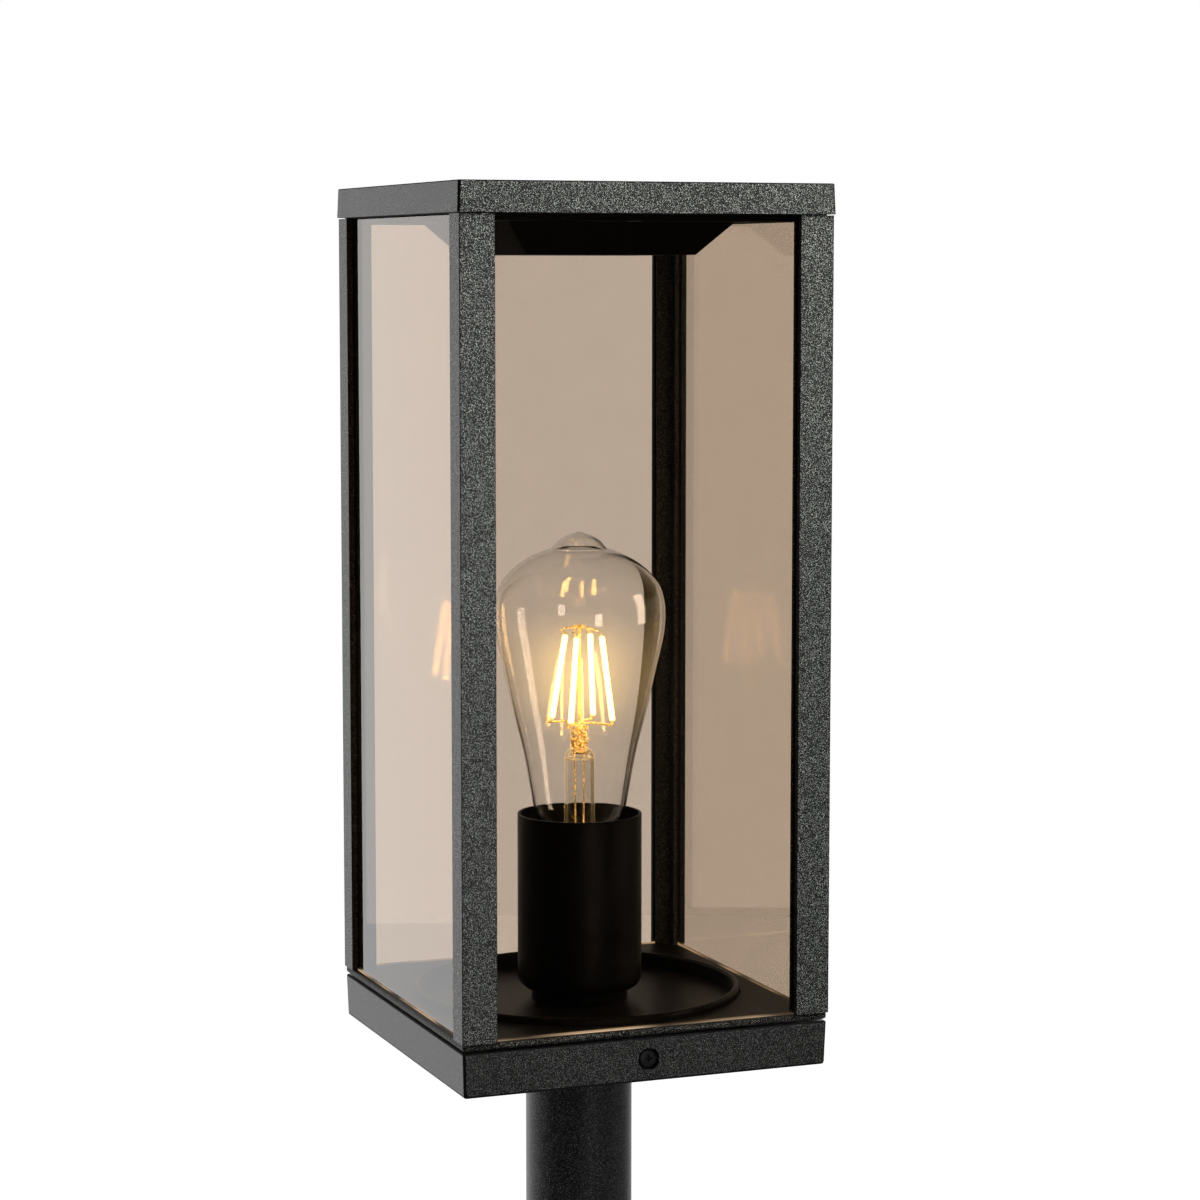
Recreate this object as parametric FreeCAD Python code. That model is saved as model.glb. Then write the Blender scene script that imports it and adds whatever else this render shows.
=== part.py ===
import FreeCAD, Part
import math
import os
from FreeCAD import Vector, Rotation, Placement

# Outdoor post light: a square lantern head with smoke glass on a tube post.
# All lengths are in millimetres. The origin is the centre of the foot plate's underside, +Z is up,
# and -Y is the front, where the lock screw shows.

# Fits and gaps shared by all pieces
thread_gap = 0.05        # radial gap between a screw and its thread
hole_gap = 0.2           # radial gap round a screw that only passes through
slip_gap = 0.25          # gap between a plate and the walls that it drops between
running_gap = 0.1        # gap between pieces that turn or lift past each other
overrun = 1.0            # how far a cut runs past the surface that it opens
same_level = 0.001       # levels closer than this are taken as one

# Metric screws: shank, pan head and countersunk head
m3_radius = 1.5
m3_head_radius = 2.8
m3_head_height = 2.0
m3_sunk_radius = 2.8
m3_sunk_height = 1.4
m4_radius = 2.0
m4_head_radius = 3.8
m4_head_height = 2.6
recess_width = 0.7       # width of a cross recess
recess_depth = 1.0
recess_share = 0.6       # reach of the cross recess as a share of the head's radius

# Foot plate and its collar
foot_width = 160.0
foot_thickness = 6.0
foot_corner_radius = 6.0
foot_edge_radius = 1.0
foot_hole_inset = 20.0           # bolt holes from the plate's edges
foot_hole_radius = 4.5
foot_cable_radius = 12.0
collar_wall = 6.0
collar_height = 34.0
collar_edge_radius = 1.5
collar_fit = 0.15                # radial gap between the post and the collar's bore
grub_radius = 3.0
grub_length = 5.5
grub_socket_radius = 1.7
grub_socket_depth = 2.5
grub_count = 3
grub_height_share = 0.6

# Post tube and the plug in its top end
post_height = 481.0              # ground to the underside of the base housing
post_radius = 20.0
post_wall = 2.0
insert_length = 24.0
insert_fit = 0.05
insert_bore_radius = 7.0
insert_chamfer = 0.8
post_screw_count = 3
post_screw_length = 14.0
post_screw_turn = 60.0           # degrees, from +X to the first screw

# Base housing, a drafted pan as wide at its top edge as the head's plate
lantern_width = 140.0
housing_draft = 0.5              # how much each side leans in at the bottom
housing_height = 16.2
housing_wall = 2.2
housing_floor = 2.2
housing_corner_radius = 1.2
housing_bottom_radius = 1.2
housing_top_radius = 0.7
boss_radius = 4.0                # the round screw bosses
boss_hole_margin = 1.2           # metal left under a boss's blind hole
screw_end_gap = 0.4              # from a screw's tip to the end of its blind hole

# Lock screws, front and back
lock_height = 8.3                # above the housing's underside
lock_tip_gap = 0.1               # the screw's tip stops this far from the lug
lock_recess = 0.5                # head's face behind the wall's face
lock_head_radius = 3.5
lock_head_height = 2.6
lock_bore_gap = 0.6              # round the head
lock_boss_wall = 2.4             # round the counterbore
lock_boss_gap = 0.4              # boss to lug
oring_radius = 0.45              # section

# Cable entry, clamp, terminal block and earth point in the housing
grommet_lip = 1.5                # flange beyond the plug's bore
grommet_flange = 1.2
grommet_neck_gap = 0.1
grommet_tail = 3.0
grommet_bore_radius = 3.3
clamp_share = 0.23               # clamp from the axis, as a share of lantern_width
clamp_spacing = 20.0
clamp_end = 4.0                  # bar beyond each screw
clamp_width = 7.0
clamp_thickness = 2.5
clamp_boss_height = 5.0
terminal_share = 0.27            # block from the axis, as a share of lantern_width
terminal_boss_height = 3.0
terminal_base_width = 12.0
terminal_base_height = 2.5
terminal_screw_gap = 2.0         # from the outer pole to the fixing screw's head
terminal_end = 3.5               # base beyond each fixing screw
terminal_pitch = 8.0
terminal_pole_length = 20.0
terminal_pole_gap = 1.6          # between two poles
terminal_pole_height = 8.0
terminal_clamp_radius = 2.0
terminal_bore_radius = 1.3
terminal_clamp_screw_radius = 1.2
terminal_clamp_screw_inset = 4.0
terminal_clamp_sink = 1.0
earth_share = 0.285              # earth point from the axis, as a share of lantern_width
earth_boss_height = 3.0
lug_thickness = 0.8
lug_radius = 4.2
lug_tail_width = 3.4
lug_tail_length = 11.0
lug_barrel_wall = 0.7
lug_barrel_length = 6.0
lead_radius = 1.0
lead_bend_radius = 3.0
lead_gap = 0.8                   # over the post screws' heads
lead_offset = 1.7                # of each lead from the nipple's axis
lead_start_inset = 2.0           # how far a lead goes into the terminal
lead_entry_x = 16.0
live_entry_y = -5.0
neutral_entry_y = 4.0
earth_turn_x = 19.0

# Drip tray with its upstand ring
tray_thickness = 1.5
ring_inset = 10.0                # ring from the lantern's sides
ring_wall = 2.5
ring_height = 5.8                # above the tray
ring_edge_radius = 1.1
tray_screw_inset = 13.0          # from the tray's edges
slot_gap = 0.4                   # round the head's lugs
seal_edge_gap = 0.25             # from the seal to the tray's edges
seal_width = 1.9

# Socket cup, spacer, nipple and nut
spacer_inset = 0.25              # inside the flat of the cup's floor
spacer_height = 4.3
cup_gap = 2.75                   # round the lampholder
cup_wall = 1.0
cup_height = 66.0
cup_corner_radius = 5.0
cup_rim_radius = 0.3
nipple_radius = 5.0
nipple_bore_radius = 4.0
nipple_tail = 1.2                # below the nut
nipple_end_gap = 1.0             # below the top of the lampholder's floor
nut_across_flats = 14.0
nut_height = 3.5

# Lampholder
holder_base_height = 22.0
holder_base_wall = 2.5
holder_base_floor = 7.0
holder_step = 1.0                # between the radii of its two halves
holder_wall = 5.85               # outside the shell
holder_height = 31.5
holder_floor = 5.5
holder_rim_gap = 1.15            # between the mouth and the shell's bore
holder_rim_depth = 2.5
holder_edge_radius = 1.0
shell_fit = 0.15                 # radial gap between the cap's thread and the shell
shell_wall = 0.4
shell_lift = 1.0
shell_rim_gap = 0.5              # below the mouth's step
contact_width = 5.0
contact_thickness = 0.5
contact_length = 15.0
contact_rise = 2.7               # bulb's tip above the lampholder's seat
contact_rivet_radius = 1.2
holder_terminal_place = 9.0
holder_terminal_size = 5.0
holder_terminal_height = 4.5

# Bulb
bulb_length = 140.0
bulb_radius = 32.0
bulb_wall = 0.9
thread_radius = 13.1
thread_depth = 0.9
thread_pitch = 3.629
thread_turns = 4
thread_start = 4.4               # above the contact's tip
cap_wall = 0.3
cap_collar_step = 0.35           # collar inside the thread's crest
cap_height = 27.0
neck_sink = 4.6                  # the glass goes this far down into the cap
neck_rise = 0.45                 # straight neck above the cap's rim
neck_gap = 0.25                  # cement between the cap and the glass
contact_radius = 4.6
contact_height = 0.9
insulator_radius = 9.5
insulator_height = 3.4
stem_radius = 5.7
stem_wall = 0.9
stem_top = 57.5                  # top of the round stem above the contact's tip
stem_dome = 2.0
crimp_width = 6.8
crimp_thickness = 3.0
crimp_height = 10.5
flare_fit = 0.7                  # between the stem's flare and the neck, which are fused in the real bulb
flare_bottom = 26.0
flare_height = 6.0
filament_count = 4
filament_radius = 1.0
filament_low_circle = 11.7
filament_high_circle = 7.8
filament_height = 31.5
filament_phase = 48.6            # degrees
wire_radius = 0.3
rod_radius = 0.7
star_wire_rise = 0.6             # lower wires above the crimp
foot_wire_height = 1.4           # from the lower wires to the filaments
arm_rise = 2.5                   # upper arms above the filaments

# Head: bottom plate, corner posts, panes
head_gap = 0.7                   # shadow gap above the housing
head_plate_thickness = 2.5
head_corner_radius = 1.2
head_edge_radius = 0.9
head_hole_gap = 0.5              # round the tray's ring
lock_lug_ring_gap = 1.0          # from the tray's ring
lock_lug_thickness = 1.6
lock_lug_width = 24.0
lock_lug_clear = 2.4             # lug's lower end above the housing's floor
post_stand_out = 0.4             # corner posts' faces beyond the plate's edges
corner_height = 288.2
wide_leg = 13.0                  # leg on the front and back walls
narrow_leg = 10.5                # leg on the side walls
leg_depth = 7.0
outer_lip = 2.2
glass_thickness = 3.0
strip_thickness = 0.4            # rubber behind the glass
groove_depth = 3.5
port_inset_x = 7.0               # screw port from the corner
port_inset_y = 4.8
corner_edge_radius = 0.3
post_screw_bite = 12.0           # head to tip of the screws in the corner posts
glass_end_gap = 0.4
strip_width = 3.0

# Head: top frame, heat shield, roof cap
frame_side_gap = 0.2
frame_thickness = 2.0
frame_rim = 23.9                 # width of the frame's band
cap_screw_inset = 16.4           # from the frame's edges
shield_side_gap = 0.4            # to the corner posts
shield_screw_inset = 9.0         # from the shield's edges
gasket_inset = 3.0               # inside the shield's edges
gasket_thickness = 0.7
gasket_band = 12.0
shield_thickness = 1.5
shield_flange = 19.7             # flat rim round the drop
shield_slope_run = 10.7          # how far the drop's sides lean in
shield_drop = 11.6
roof_overhang = 0.6              # skirt beyond the corner posts
roof_draft = 0.4
roof_height = 10.9
roof_skirt_gap = 0.4             # shadow line between posts and skirt
roof_wall = 2.0
roof_corner_radius = 1.0
roof_edge_radius = 0.5

# The bulb's outer outline above its cap, from the neck upwards. Each pair is a share of
# bulb_radius and a share of the bulb's height above the cap's rim.
bulb_body_shares = [
    (0.456, 0.034), (0.519, 0.065), (0.555, 0.109),
    (0.586, 0.162), (0.669, 0.286), (0.784, 0.415), (0.898, 0.555), (0.973, 0.648),
    (0.997, 0.701), (1.000, 0.737), (0.986, 0.778), (0.935, 0.824), (0.825, 0.865),
    (0.700, 0.896), (0.550, 0.922), (0.420, 0.938), (0.320, 0.947),
]
bulb_nub_shares = [
    (0.320, 0.947), (0.285, 0.958), (0.235, 0.974), (0.140, 0.990), (0.000, 1.000),
]

# Levels that follow from the sizes above
foot_top = foot_thickness + collar_height
housing_top = post_height + housing_height
housing_floor_top = post_height + housing_floor
tray_bottom = housing_top - tray_thickness
cup_floor_low = housing_top + spacer_height
cup_floor_high = cup_floor_low + cup_wall
holder_low = cup_floor_high + holder_base_height
holder_seat = holder_low + holder_floor
bulb_tip_low = holder_seat + contact_rise
cap_rim = bulb_tip_low + cap_height
glass_height = bulb_length - cap_height
plate_low = housing_top + head_gap
plate_high = plate_low + head_plate_thickness
frame_low = plate_high + corner_height
frame_high = frame_low + frame_thickness
roof_low = frame_low + roof_skirt_gap
roof_top = roof_low + roof_height
shield_high = frame_low - gasket_thickness
shield_low = shield_high - shield_thickness
lock_z = post_height + lock_height
crimp_top = stem_top + crimp_height
star_wire_height = crimp_top + star_wire_rise
filament_low = star_wire_height + foot_wire_height
filament_high = filament_low + filament_height
arm_height = filament_high + arm_rise

# Distances from the axis that follow from the sizes above
foot_hole_place = foot_width / 2 - foot_hole_inset
plug_radius = post_radius - post_wall - insert_fit
post_screw_circle = (plug_radius + insert_bore_radius) / 2
housing_inside = lantern_width / 2 - housing_draft - housing_wall
tray_half = housing_inside - slip_gap
tray_screw_place = tray_half - tray_screw_inset
ring_radius = lantern_width / 2 - ring_inset
seal_radius = tray_half - seal_edge_gap
lock_lug_inner = ring_radius + lock_lug_ring_gap
lock_lug_outer = lock_lug_inner + lock_lug_thickness
lock_bore_radius = lock_head_radius + lock_bore_gap
clamp_y = -clamp_share * lantern_width
terminal_x = terminal_share * lantern_width
earth_y = earth_share * lantern_width
shell_radius = thread_radius + shell_fit
holder_radius = shell_radius + shell_wall + holder_wall
holder_base_radius = holder_radius - holder_step
cup_radius = holder_radius + cup_gap + cup_wall
cap_collar_radius = thread_radius - cap_collar_step
neck_radius = cap_collar_radius - cap_wall - neck_gap
post_face = lantern_width / 2 + post_stand_out
pane_face = post_face - outer_lip
groove_width = glass_thickness + strip_thickness
roof_half = post_face + roof_overhang
roof_inside = roof_half - roof_draft - roof_wall
frame_half = roof_inside - frame_side_gap
cap_screw_place = frame_half - cap_screw_inset
shield_half = post_face - leg_depth - shield_side_gap
shield_screw_place = shield_half - shield_screw_inset
gasket_half = shield_half - gasket_inset


def box(low, high):
    """A box between two corners."""
    size = [high[i] - low[i] for i in range(3)]
    return Part.makeBox(size[0], size[1], size[2], Vector(*low))


def square(width, low, high):
    """A square block on the axis between two levels."""
    half = width / 2
    return box((-half, -half, low), (half, half, high))


def rod(radius, low, high, x=0, y=0):
    """A round bar along Z between two levels."""
    return Part.makeCylinder(radius, high - low, Vector(x, y, low))


def pipe(outer, inner, low, high):
    """A round tube on the axis between two levels."""
    return rod(outer, low, high).cut(rod(inner, low - overrun, high + overrun))


def turned(points):
    """A solid of revolution about Z from radius and height pairs."""
    outline = Part.makePolygon([Vector(r, 0, z) for r, z in points + points[:1]])
    return Part.Face(outline).revolve(Vector(0, 0, 0), Vector(0, 0, 1), 360)


def tapered(width_low, width_high, low, high):
    """A square block whose four sides lean evenly."""
    a, b = width_low / 2, width_high / 2
    wedge = Part.makeWedge(-a, 0, -a, -b, -b, a, high - low, a, b, b)
    wedge.rotate(Vector(0, 0, 0), Vector(1, 0, 0), 90)
    wedge.translate(Vector(0, 0, low))
    return wedge


def upright(edge):
    """True for a straight edge that climbs from one level to another."""
    low, high = edge.BoundBox.ZMin, edge.BoundBox.ZMax
    return high - low > max(edge.BoundBox.XLength, edge.BoundBox.YLength)


def level(edge, z):
    """True for an edge that lies at one level."""
    return abs(edge.BoundBox.ZMin - z) < same_level and abs(edge.BoundBox.ZMax - z) < same_level


def rounded_block(block, corner, low_round, high_round):
    """Rounds a block's upright edges, then its lower and upper rims."""
    block = block.makeFillet(corner, [e for e in block.Edges if upright(e)])
    levels = [v.Z for v in block.Vertexes]
    for rim_round, z in ((low_round, min(levels)), (high_round, max(levels))):
        if rim_round:
            rim_round = min(rim_round, corner * 0.9)
            block = block.makeFillet(rim_round, [e for e in block.Edges if level(e, z)])
    return block


def placed(shape, position, towards=Vector(0, 0, 1)):
    """A copy of a shape built along +Z, moved to a position and turned towards a direction."""
    moved = shape.copy()
    moved.Placement = Placement(position, Rotation(Vector(0, 0, 1), towards))
    return moved


def four_corners(x, y):
    """The four places mirrored about both walls."""
    return [(sx * x, sy * y) for sx in (-1, 1) for sy in (-1, 1)]


def four_sides(reach):
    """The four places on the X and Y axes."""
    return [(reach, 0), (0, reach), (-reach, 0), (0, -reach)]


def round_places(count, radius, start):
    """Places evenly spaced on a circle, as x, y pairs."""
    angles = [math.radians(start + 360 * i / count) for i in range(count)]
    return [(radius * math.cos(a), radius * math.sin(a)) for a in angles]


def cross_recess(reach, top):
    """The tool that cuts a cross recess into a screw head whose face is at a level."""
    half = recess_width / 2
    low, high = top - recess_depth, top + overrun
    bars = box((-reach, -half, low), (reach, half, high))
    return bars.fuse(box((-half, -reach, low), (half, reach, high)))


def pan_screw(radius, head_radius, head_height, length):
    """A pan head screw along Z: head above zero, shank below."""
    head = rod(head_radius, 0, head_height)
    head = head.makeFillet(head_height * 0.4, [e for e in head.Edges if level(e, head_height)])
    screw = head.fuse(rod(radius, -length, 0))
    return screw.cut(cross_recess(head_radius * recess_share, head_height)).removeSplitter()


def sunk_screw(length):
    """A countersunk M3 screw along Z: its flat head's face at zero, shank below."""
    head = Part.makeCone(m3_radius, m3_sunk_radius, m3_sunk_height, Vector(0, 0, -m3_sunk_height))
    screw = head.fuse(rod(m3_radius, -length, -m3_sunk_height))
    return screw.cut(cross_recess(m3_sunk_radius * recess_share, 0)).removeSplitter()


def sunk_hole(depth):
    """The tool for a countersunk through hole whose face is at zero."""
    wide = m3_sunk_radius + thread_gap
    narrow = m3_radius + thread_gap
    cone = Part.makeCone(narrow, wide, m3_sunk_height, Vector(0, 0, -m3_sunk_height))
    return cone.fuse(rod(narrow, -depth - overrun, 0)).fuse(rod(wide, 0, overrun))


def bent_wire(points, radius, bend):
    """A round wire along straight runs joined by tangent arcs."""
    edges, start = [], points[0]
    for before, corner, after in zip(points, points[1:], points[2:]):
        back = (before - corner).normalize()
        ahead = (after - corner).normalize()
        half_turn = (math.pi - back.getAngle(ahead)) / 2
        reach = bend * math.tan(half_turn)
        first, last = corner + back * reach, corner + ahead * reach
        inward = (back + ahead).normalize()
        middle = corner + inward * (bend / math.cos(half_turn) - bend)
        edges += [Part.LineSegment(start, first).toShape(), Part.Arc(first, middle, last).toShape()]
        start = last
    edges.append(Part.LineSegment(start, points[-1]).toShape())
    ring = Part.Wire([Part.makeCircle(radius, points[0], points[1] - points[0])])
    return Part.Wire(edges).makePipeShell([ring], True, False)


def foot_plate():
    """Cast foot: square plate, collar for the post, bolt holes and cable hole."""
    plate = rounded_block(square(foot_width, 0, foot_thickness), foot_corner_radius, 0, foot_edge_radius)
    outer = post_radius + collar_fit + collar_wall
    collar = rod(outer, foot_thickness / 2, foot_top)
    collar = collar.makeFillet(collar_edge_radius, [e for e in collar.Edges if level(e, foot_top)])
    foot = plate.fuse(collar).removeSplitter()
    foot = foot.cut(rod(post_radius + collar_fit, foot_thickness, foot_top + overrun))
    foot = foot.cut(rod(foot_cable_radius, -overrun, foot_thickness + overrun))
    for x, y in four_corners(foot_hole_place, foot_hole_place):
        foot = foot.cut(rod(foot_hole_radius, -overrun, foot_thickness + overrun, x, y))
    for hole in grub_line(Part.makeCylinder(grub_radius + thread_gap, outer + overrun)):
        foot = foot.cut(hole)
    return foot


def grub_line(shape):
    """Copies of a shape built along +Z, pointing outwards from the post's axis at the grub screws."""
    height = foot_thickness + collar_height * grub_height_share
    return [placed(shape, Vector(0, 0, height), Vector(x, y, 0)) for x, y in round_places(grub_count, 1, 90)]


def foot_grub_screws():
    """Set screws that clamp the post in the collar."""
    start = post_radius + thread_gap
    screw = rod(grub_radius, start, start + grub_length)
    socket = Part.Face(Part.makePolygon(hexagon(grub_socket_radius)))
    socket = socket.extrude(Vector(0, 0, grub_socket_depth + overrun))
    socket.translate(Vector(0, 0, start + grub_length - grub_socket_depth))
    return Part.makeCompound(grub_line(screw.cut(socket)))


def hexagon(radius):
    """A closed hexagon in the XY plane."""
    return [Vector(x, y, 0) for x, y in round_places(6, radius, 0) + round_places(6, radius, 0)[:1]]


def post_tube():
    """Aluminium tube that stands in the foot's collar."""
    return pipe(post_radius, post_radius - post_wall, foot_thickness, post_height)


def post_insert():
    """Plug in the tube's top end, with the cable bore and the tapped holes."""
    low = post_height - insert_length
    plug = rod(plug_radius, low, post_height)
    plug = plug.makeChamfer(insert_chamfer, [e for e in plug.Edges if level(e, low)])
    plug = plug.cut(rod(insert_bore_radius, low - overrun, post_height + overrun))
    for x, y in round_places(post_screw_count, post_screw_circle, post_screw_turn):
        plug = plug.cut(rod(m4_radius + thread_gap, low - overrun, post_height + overrun, x, y))
    return plug


def post_screws():
    """Screws through the housing's floor into the plug."""
    screw = pan_screw(m4_radius, m4_head_radius, m4_head_height, post_screw_length)
    z = housing_floor_top
    places = round_places(post_screw_count, post_screw_circle, post_screw_turn)
    return Part.makeCompound([placed(screw, Vector(x, y, z)) for x, y in places])


def boss_screw_length(level_of_head):
    """Shank length from a level down into a blind hole in the housing's floor."""
    return level_of_head - post_height - boss_hole_margin - screw_end_gap


def boss(x, y, top, radius):
    """A round boss on the housing's floor with a blind screw hole."""
    solid = rod(boss_radius, housing_floor_top - housing_floor / 2, top, x, y)
    return solid, rod(radius + thread_gap, post_height + boss_hole_margin, top + overrun, x, y)


def base_housing():
    """Die-cast pan with bosses for the tray, clamp, terminal block, earth point and lock screws."""
    low_width = lantern_width - 2 * housing_draft
    body = tapered(low_width, lantern_width, post_height, housing_top)
    body = rounded_block(body, housing_corner_radius, housing_bottom_radius, housing_top_radius)
    floor = housing_floor_top
    pan = body.cut(square(2 * housing_inside, floor, housing_top + overrun))
    bosses = [boss(x, y, tray_bottom, m3_radius) for x, y in four_corners(tray_screw_place, tray_screw_place)]
    for side in (-1, 1):
        bosses.append(boss(side * clamp_spacing / 2, clamp_y, floor + clamp_boss_height, m3_radius))
        y = side * terminal_screw_place()
        bosses.append(boss(terminal_x, y, floor + terminal_boss_height, m3_radius))
    bosses.append(boss(0, earth_y, floor + earth_boss_height, m4_radius))
    inner = lock_lug_outer + lock_boss_gap
    for side in (-1, 1):
        near, far = sorted((side * inner, side * (housing_inside + housing_wall / 2)))
        half = lock_bore_radius + lock_boss_wall
        pan = pan.fuse(box((-half, near, floor - housing_floor / 2), (half, far, tray_bottom - running_gap)))
    for solid, hole in bosses:
        pan = pan.fuse(solid)
    pan = pan.removeSplitter()
    for solid, hole in bosses:
        pan = pan.cut(hole)
    pan = pan.cut(rod(insert_bore_radius, post_height - overrun, floor + overrun))
    for x, y in round_places(post_screw_count, post_screw_circle, post_screw_turn):
        pan = pan.cut(rod(m4_radius + hole_gap, post_height - overrun, floor + overrun, x, y))
    for side in (-1, 1):
        outwards = Vector(0, side, 0)
        head_room = Part.makeCylinder(lock_bore_radius, lantern_width)
        pan = pan.cut(placed(head_room, Vector(0, side * lock_floor(), lock_z), outwards))
        thread = Part.makeCylinder(m4_radius + thread_gap, lantern_width / 2)
        pan = pan.cut(placed(thread, Vector(0, side * (inner - overrun), lock_z), outwards))
    return pan


def lock_face():
    """Distance of the housing's wall face from the axis at the lock screws."""
    return lantern_width / 2 - housing_draft * (1 - lock_height / housing_height)


def lock_floor():
    """Distance of the counterbore's floor from the axis."""
    return lock_face() - lock_recess - lock_head_height - 2 * oring_radius


def lock_screw(side):
    """Lock screw: its head stands in the counterbore and its tip reaches the head's lug."""
    under_head = lock_floor() + 2 * oring_radius
    shank = under_head - lock_lug_outer - lock_tip_gap
    screw = pan_screw(m4_radius, lock_head_radius, lock_head_height, shank)
    return placed(screw, Vector(0, side * under_head, lock_z), Vector(0, side, 0))


def lock_oring(side):
    """O-ring under the lock screw's head."""
    ring = Part.makeTorus(m4_radius + hole_gap + oring_radius, oring_radius)
    return placed(ring, Vector(0, side * (lock_floor() + oring_radius), lock_z), Vector(0, side, 0))


def cable_grommet():
    """Rubber grommet in the housing's floor, its neck in the plug's bore."""
    floor = housing_floor_top
    neck = insert_bore_radius - grommet_neck_gap
    grommet = rod(insert_bore_radius + grommet_lip, floor, floor + grommet_flange)
    grommet = grommet.fuse(rod(neck, post_height - grommet_tail, floor)).removeSplitter()
    top = floor + grommet_flange
    grommet = grommet.makeFillet(grommet_flange * 0.4, [e for e in grommet.Edges if level(e, top)])
    return grommet.cut(rod(grommet_bore_radius, post_height - grommet_tail - overrun, top + overrun))


def clamp_level():
    """Underside of the cable clamp."""
    return housing_floor_top + clamp_boss_height


def cable_clamp():
    """Bar that presses the supply cable down between its two bosses."""
    low = clamp_level()
    high = low + clamp_thickness
    half_length, half_width = clamp_spacing / 2 + clamp_end, clamp_width / 2
    bar = box((-half_length, clamp_y - half_width, low), (half_length, clamp_y + half_width, high))
    bar = bar.makeFillet(half_width * 0.9, [e for e in bar.Edges if upright(e)])
    for side in (-1, 1):
        x = side * clamp_spacing / 2
        bar = bar.cut(rod(m3_radius + hole_gap, low - overrun, high + overrun, x, clamp_y))
    return bar


def clamp_screws():
    """The clamp's two screws."""
    z = clamp_level() + clamp_thickness
    screw = pan_screw(m3_radius, m3_head_radius, m3_head_height, boss_screw_length(z))
    return Part.makeCompound([placed(screw, Vector(s * clamp_spacing / 2, clamp_y, z)) for s in (-1, 1)])


def terminal_level():
    """Underside of the terminal block."""
    return housing_floor_top + terminal_boss_height


def pole_places():
    """The terminal block's poles along Y: live, neutral, earth."""
    return [i * terminal_pitch for i in (-1, 0, 1)]


def pole_half_width():
    """Half the width of one pole."""
    return (terminal_pitch - terminal_pole_gap) / 2


def terminal_screw_place():
    """Distance of the fixing screws from the middle of the block."""
    return terminal_pitch + pole_half_width() + terminal_screw_gap + m3_head_radius


def pole_axis_level():
    """Level of the wire bores in the terminal block."""
    return terminal_level() + terminal_pole_height / 2


def across_x(radius, length, x, y, z):
    """A round bar along +X."""
    return placed(Part.makeCylinder(radius, length), Vector(x, y, z), Vector(1, 0, 0))


def terminal_block():
    """Three-pole block of moulded plastic on two bosses."""
    low = terminal_level()
    half = terminal_screw_place() + terminal_end
    wide = terminal_base_width / 2
    block = box((terminal_x - wide, -half, low), (terminal_x + wide, half, low + terminal_base_height))
    start = terminal_x - terminal_pole_length / 2
    for y in pole_places():
        a = (start, y - pole_half_width(), low)
        b = (start + terminal_pole_length, y + pole_half_width(), low + terminal_pole_height)
        block = block.fuse(box(a, b))
    block = block.removeSplitter()
    z = pole_axis_level()
    for y in pole_places():
        bore = terminal_clamp_radius + thread_gap
        block = block.cut(across_x(bore, terminal_pole_length + 2 * overrun, start - overrun, y, z))
        for x in clamp_screw_places():
            well = terminal_clamp_screw_radius + hole_gap
            block = block.cut(rod(well, z, low + terminal_pole_height + overrun, x, y))
    for side in (-1, 1):
        y = side * terminal_screw_place()
        top = low + terminal_base_height + overrun
        block = block.cut(rod(m3_radius + hole_gap, low - overrun, top, terminal_x, y))
    return block


def clamp_screw_places():
    """X places of the small screws that hold the wires."""
    reach = terminal_pole_length / 2 - terminal_clamp_screw_inset
    return [terminal_x - reach, terminal_x + reach]


def terminal_clamps():
    """Brass tubes in the block with their wire screws."""
    z = pole_axis_level()
    top = terminal_level() + terminal_pole_height - terminal_clamp_sink
    start = terminal_x - terminal_pole_length / 2 + terminal_clamp_sink
    length = terminal_pole_length - 2 * terminal_clamp_sink
    solids = []
    for y in pole_places():
        tube = across_x(terminal_clamp_radius, length, start, y, z)
        tube = tube.cut(across_x(terminal_bore_radius, length + 2 * overrun, start - overrun, y, z))
        screws = []
        for x in clamp_screw_places():
            seat = z + terminal_bore_radius
            tube = tube.cut(rod(terminal_clamp_screw_radius + thread_gap, z, top + overrun, x, y))
            slot = box((-terminal_clamp_screw_radius - overrun, -recess_width / 2, top - recess_depth),
                       (terminal_clamp_screw_radius + overrun, recess_width / 2, top + overrun))
            slot.translate(Vector(x, y, 0))
            screws.append(rod(terminal_clamp_screw_radius, seat, top, x, y).cut(slot))
        solids += [tube] + screws
    return Part.makeCompound(solids)


def terminal_fixing_screws():
    """Screws that hold the block on its bosses."""
    z = terminal_level() + terminal_base_height
    screw = pan_screw(m3_radius, m3_head_radius, m3_head_height, boss_screw_length(z))
    reach = terminal_screw_place()
    return Part.makeCompound([placed(screw, Vector(terminal_x, s * reach, z)) for s in (-1, 1)])


def lug_level():
    """Underside of the earth lug."""
    return housing_floor_top + earth_boss_height


def lug_barrel_radius():
    """Outer radius of the lug's barrel."""
    return lead_radius + lug_barrel_wall


def earth_lug():
    """Ring lug with the barrel that is crimped on the earth lead."""
    low = lug_level()
    ring = rod(lug_radius, low, low + lug_thickness, 0, earth_y)
    half = lug_tail_width / 2
    tail = box((0, earth_y - half, low), (lug_tail_length, earth_y + half, low + lug_thickness))
    start = lug_tail_length - lug_barrel_length
    z = low + lug_barrel_radius()
    barrel = across_x(lug_barrel_radius(), lug_barrel_length, start, earth_y, z)
    lug = ring.fuse(tail).fuse(barrel).removeSplitter()
    lug = lug.cut(rod(m4_radius + hole_gap, low - overrun, low + lug_thickness + overrun, 0, earth_y))
    return lug.cut(across_x(lead_radius, lug_barrel_length, start + lug_thickness, earth_y, z))


def earth_screw():
    """Screw of the earth point."""
    z = lug_level() + lug_thickness
    screw = pan_screw(m4_radius, m4_head_radius, m4_head_height, boss_screw_length(z))
    return placed(screw, Vector(0, earth_y, z))


def lead_start():
    """X where the leads' ends sit in the terminal block."""
    return terminal_x - terminal_pole_length / 2 + lead_start_inset


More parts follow.
